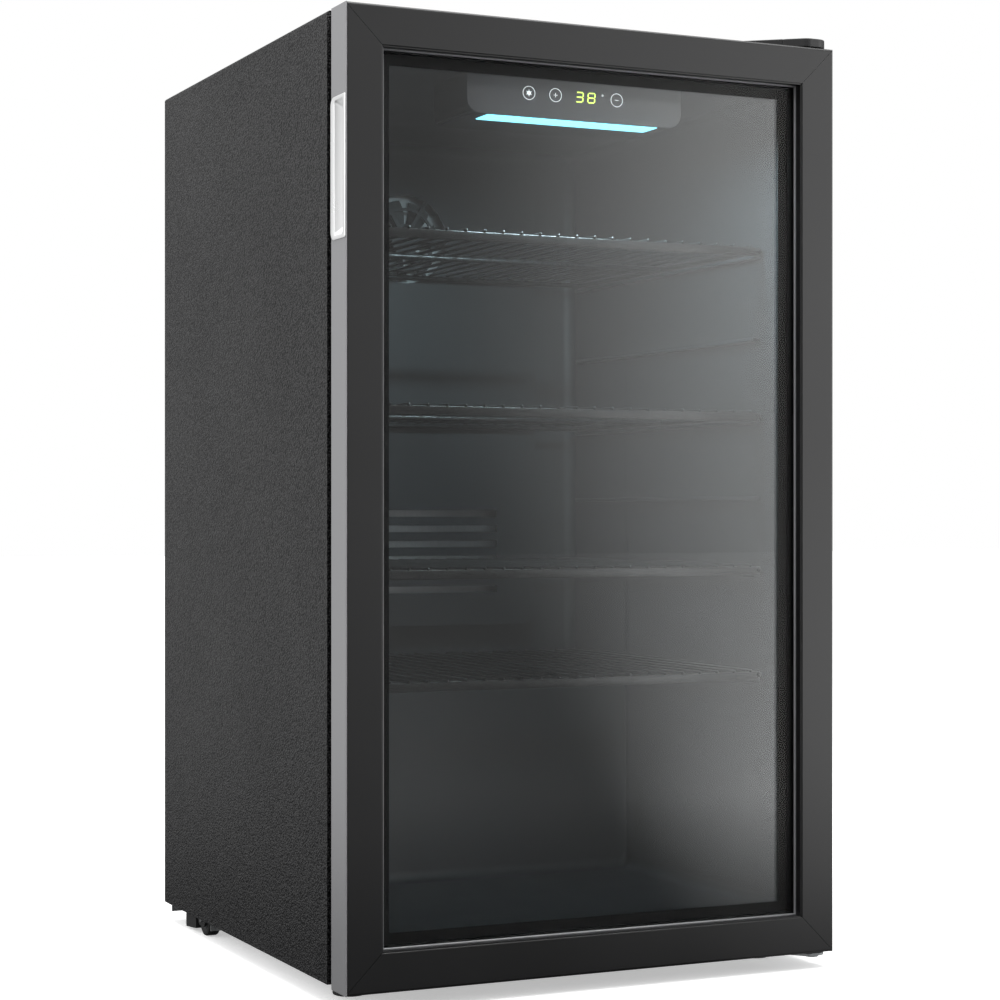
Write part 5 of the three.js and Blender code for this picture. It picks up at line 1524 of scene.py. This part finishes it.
@dataclass
class MachineBay:
    """Compressor, its pipes, drier and drip pan behind the louvred cover.

    Args:
        shell_mm: Compressor shell radius.
        weld_mm: How far its weld flange stands out.
        weld_rise_mm: Height of the weld flange above the foot plate.
        stud_x_mm: Grommets either side of the compressor's axis.
        stud_y_mm: Grommets before and behind it.
        pipe_mm: Pipe radius.
    """

    shell_mm: float = 52.0
    weld_mm: float = 4.5
    weld_rise_mm: float = 71.7
    stud_x_mm: float = 62.0
    stud_y_mm: float = 36.0
    pipe_mm: float = 3.0

    def build(self) -> None:
        """Build the compartment's pieces."""
        low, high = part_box("compressor")
        self.axis = Vector(((low.x + high.x) / 2, (low.y + high.y) / 2, 0.0))
        self.base = low.z + 0.0083
        self.top = high.z
        dress("relay_cover", MOULDED_ABS, 0.8)
        dress("drip_pan", MOULDED_ABS, 0.6)
        self.compressor()
        self.grommets()
        self.pipes()
        self.drier()
        self.gland()

    def compressor(self) -> None:
        """Draw the welded shell on its foot plate."""
        shape = bmesh.new()
        radius = self.shell_mm * MM
        weld = self.weld_rise_mm * MM
        tall = self.top - self.base
        profile = [(0.0, 0.0), (radius * 0.6, 0.0)]
        profile += [(radius * (0.6 + 0.4 * math.sin(a)), 0.024 * (1 - math.cos(a))) for a in self.quarter(8)]
        lip = radius + self.weld_mm * MM
        profile += [(radius, weld - 0.002), (lip - 0.001, weld), (lip, weld + 0.001), (lip, weld + 0.003),
                    (lip - 0.001, weld + 0.004), (radius, weld + 0.005)]
        crown = tall - weld - 0.005
        profile += [(radius * math.cos(a), weld + 0.005 + crown * math.sin(a) ** 0.8)
                    for a in self.quarter(12)]
        profile[-1] = (0.0, tall)
        lathe(shape, profile, Vector((self.axis.x, self.axis.y, self.base)), "Z", 64)
        half_x = (self.stud_x_mm + 12) * MM
        half_y = (self.stud_y_mm + 10) * MM
        low = Vector((self.axis.x - half_x, self.axis.y - half_y, self.base))
        high = Vector((self.axis.x + half_x, self.axis.y + half_y, self.base + 0.003))
        block(shape, low, high, 0.0012, 2)
        piece = publish(shape, "compressor_shell", BLACK_ENAMEL, "cabinet", 35.0)
        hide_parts("compressor")

    def quarter(self, steps: int) -> list[float]:
        """Angles through a quarter turn, without the first."""
        return [math.pi / 2 * step / steps for step in range(1, steps + 1)]

    def grommets(self) -> None:
        """Set four waisted rubber grommets under the foot plate with washers and nuts on top."""
        rubber = bmesh.new()
        steel = bmesh.new()
        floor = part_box("compressor")[0].z
        waist = self.base - floor
        for side_x in (-1, 1):
            for side_y in (-1, 1):
                spot = Vector((self.axis.x + side_x * self.stud_x_mm * MM,
                               self.axis.y + side_y * self.stud_y_mm * MM, floor))
                profile = [(0.0, 0.0), (0.0075, 0.0), (0.008, 0.0006), (0.008, waist * 0.4),
                           (0.0062, waist * 0.6), (0.008, waist * 0.85), (0.008, waist - 0.0002),
                           (0.0, waist - 0.0002)]
                lathe(rubber, profile, spot, "Z", 28)
                top = Vector((spot.x, spot.y, self.base + 0.0031))
                lathe(steel, [(0.0, 0.0), (0.007, 0.0), (0.007, 0.001), (0.0, 0.001)], top, "Z", 28)
                nut = top + Vector((0, 0, 0.001))
                hexagon = [(0.0, 0.0), (0.005, 0.0), (0.005, 0.0036), (0.0042, 0.0042), (0.0, 0.0042)]
                lathe(steel, hexagon, nut, "Z", 6)
        publish(rubber, "compressor_grommets", MOULDED_RUBBER, "cabinet")
        publish(steel, "compressor_nuts", GALVANISED, "cabinet")

    def pipes(self) -> None:
        """Bend the discharge and suction pipes."""
        pipe = self.pipe_mm * MM
        drier_low, drier_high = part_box("filter_drier")
        drier = (drier_low + drier_high) / 2
        out_low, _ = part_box("discharge_pipe")
        line_y = self.axis.y - 0.006
        route = [Vector((out_low.x, line_y, self.base + 0.012)), Vector((0.06, line_y, self.base + 0.012)),
                 Vector((0.1, line_y, self.base + 0.006)),
                 Vector((drier.x - 0.02, self.axis.y, drier_low.z - 0.014)),
                 Vector((drier.x, self.axis.y, drier_low.z - 0.01)),
                 Vector((drier.x, self.axis.y, drier_low.z - 0.0005))]
        shape = bmesh.new()
        tube(shape, smooth_line(route, 8), pipe, 20, domed=False)
        piece = publish(shape, "discharge_tube", DRAWN_COPPER, "cabinet", 60.0)
        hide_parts("discharge_pipe")
        low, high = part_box("suction_pipe")
        riser = low.x + pipe
        route = [Vector((high.x, self.axis.y, self.base + 0.06)),
                 Vector((riser + 0.018, self.axis.y, self.base + 0.06)),
                 Vector((riser, self.axis.y, self.base + 0.08)), Vector((riser, self.axis.y, high.z - 0.024)),
                 Vector((riser, self.axis.y, high.z))]
        shape = bmesh.new()
        tube(shape, smooth_line(route, 8), pipe, 20, domed=False)
        piece = publish(shape, "suction_tube", DRAWN_COPPER, "cabinet", 60.0)
        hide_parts("suction_pipe")

    def drier(self) -> None:
        """Spin the drier: a swaged copper barrel with necked ends."""
        low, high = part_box("filter_drier")
        centre = Vector(((low.x + high.x) / 2, (low.y + high.y) / 2, low.z))
        tall = high.z - low.z
        radius = (high.x - low.x) / 2 * 0.995
        ends = [(0.0, 0.0), (0.27, 0.0), (0.3, 0.05), (0.36, 0.09), (0.7, 0.13), (0.94, 0.165), (1.0, 0.2)]
        profile = [(radius * wide, tall * up) for wide, up in ends]
        profile += [(radius * wide, tall * (1 - up)) for wide, up in reversed(ends)]
        shape = bmesh.new()
        lathe(shape, profile, centre, "Z", 32)
        piece = publish(shape, "drier_barrel", DRAWN_COPPER, "cabinet", 40.0)
        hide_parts("filter_drier")

    def gland(self) -> None:
        """Dress the bush in which the mains lead is clamped."""
        dress("cord_gland", MOULDED_ABS, 0.3)


# ------------------------------------------------------------------ feet and rollers


@dataclass
class RunningGear:
    """Two levelling feet in front and two rollers behind.

    Args:
        grips: Finger grips round a foot's pad.
        grip_mm: Depth of a grip.
        stud_mm: Radius of a foot's stud.
        thread_mm: Thread pitch.
        hub_mm: Radius of a roller's hub.
        bore_mm: Radius of the hub's bore.
        dish_mm: How deep the hub's face is dished.
    """

    grips: int = 24
    grip_mm: float = 0.7
    stud_mm: float = 3.9
    thread_mm: float = 1.5
    hub_mm: float = 9.0
    bore_mm: float = 2.8
    dish_mm: float = 1.2

    def build(self) -> None:
        """Build the feet and rollers and dress their brackets."""
        for side in ("left", "right"):
            self.foot(side)
            self.roller(side)
            dress(f"roller_bracket_{side}", MOULDED_ABS, 0.6)
            dress(f"roller_axle_{side}", GALVANISED, 0.3)

    def foot(self, side: str) -> None:
        """Mould one foot: a gripped pad on a threaded stud.

        Args:
            side: "left" or "right".
        """
        low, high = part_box(f"foot_{side}")
        centre = Vector(((low.x + high.x) / 2, (low.y + high.y) / 2, low.z))
        pad = (high.x - low.x) / 2
        stud = self.stud_mm * MM
        tall = high.z - low.z
        profile = [(0.0, 0.0), (pad - 0.0012, 0.0), (pad - 0.0003, 0.0004), (pad, 0.0012), (pad, 0.0046),
                   (pad - 0.0006, 0.0054), (pad - 0.0036, 0.0068), (stud + 0.0008, 0.007)]
        pitch = self.thread_mm * MM
        height = 0.0078
        while height + pitch < tall - 0.001:
            profile += [(stud - 0.0006, height), (stud, height + pitch * 0.4),
                        (stud - 0.0006, height + pitch * 0.8)]
            height += pitch
        profile += [(stud - 0.0008, tall - 0.0005), (0.0, tall)]
        shape = bmesh.new()
        lathe(shape, profile, centre, "Z", self.grips * 4)
        for vertex in shape.verts:
            out = vertex.co - centre
            radius = math.hypot(out.x, out.y)
            if radius > pad - 0.0008 and 0.0008 < out.z < 0.006:
                wave = 0.5 + 0.5 * math.cos(self.grips * math.atan2(out.y, out.x))
                factor = 1 - self.grip_mm * MM * wave / radius
                vertex.co.x = centre.x + out.x * factor
                vertex.co.y = centre.y + out.y * factor
        piece = publish(shape, f"levelling_foot_{side}", MOULDED_ABS, f"foot_{side}", 35.0)
        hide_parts(f"foot_{side}")

    def roller(self, side: str) -> None:
        """Mould one roller: a grooved tyre on a dished hub.

        Args:
            side: "left" or "right".
        """
        low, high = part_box(f"roller_{side}")
        centre = (low + high) / 2
        radius = (high.z - low.z) / 2
        half = (high.x - low.x) / 2
        hub = self.hub_mm * MM
        bore = self.bore_mm * MM
        dish = self.dish_mm * MM
        flank = [(hub, half - 0.0004), (hub + 0.0006, half), (radius - 0.0016, half),
                 (radius - 0.0005, half - 0.0005), (radius, half - 0.0016), (radius, 0.0018),
                 (radius - 0.0009, 0.0011), (radius, 0.0004)]
        tyre = [(out, -along) for out, along in flank] + flank[::-1] + [(hub, -half + 0.0004)]
        shape = bmesh.new()
        lathe(shape, tyre, centre, "X", 64)
        piece = publish(shape, f"roller_tyre_{side}", MOULDED_RUBBER, f"roller_{side}", 40.0)
        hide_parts(f"roller_{side}")
        rim = hub - 0.0001
        face = [(bore, half - 0.0002), (bore + 0.002, half - 0.0002), (bore + 0.0024, half - dish),
                (rim - 0.0012, half - dish), (rim - 0.0008, half - 0.0002), (rim, half - 0.0004)]
        core = [(out, -along) for out, along in face] + face[::-1] + [(bore, -half + 0.0002)]
        shape = bmesh.new()
        lathe(shape, core, centre, "X", 48)
        publish(shape, f"roller_hub_{side}", HUB_NYLON, f"roller_{side}", 40.0)


# ------------------------------------------------------------------ assembly


def main() -> None:
    """Build the studio and then the fridge, sub-assembly by sub-assembly."""
    logging.basicConfig(level=logging.INFO, format="%(name)s: %(message)s")
    Studio().build()
    Cabinet().build()
    Liner().build()
    for number in (1, 2, 3, 4):
        WireShelf(number).build()
    ControlUnit().build()
    AirDuct().build()
    Door().build()
    Pull().build()
    Hinges().build()
    MachineBay().build()
    RunningGear().build()


if __name__ == "__main__":
    main()
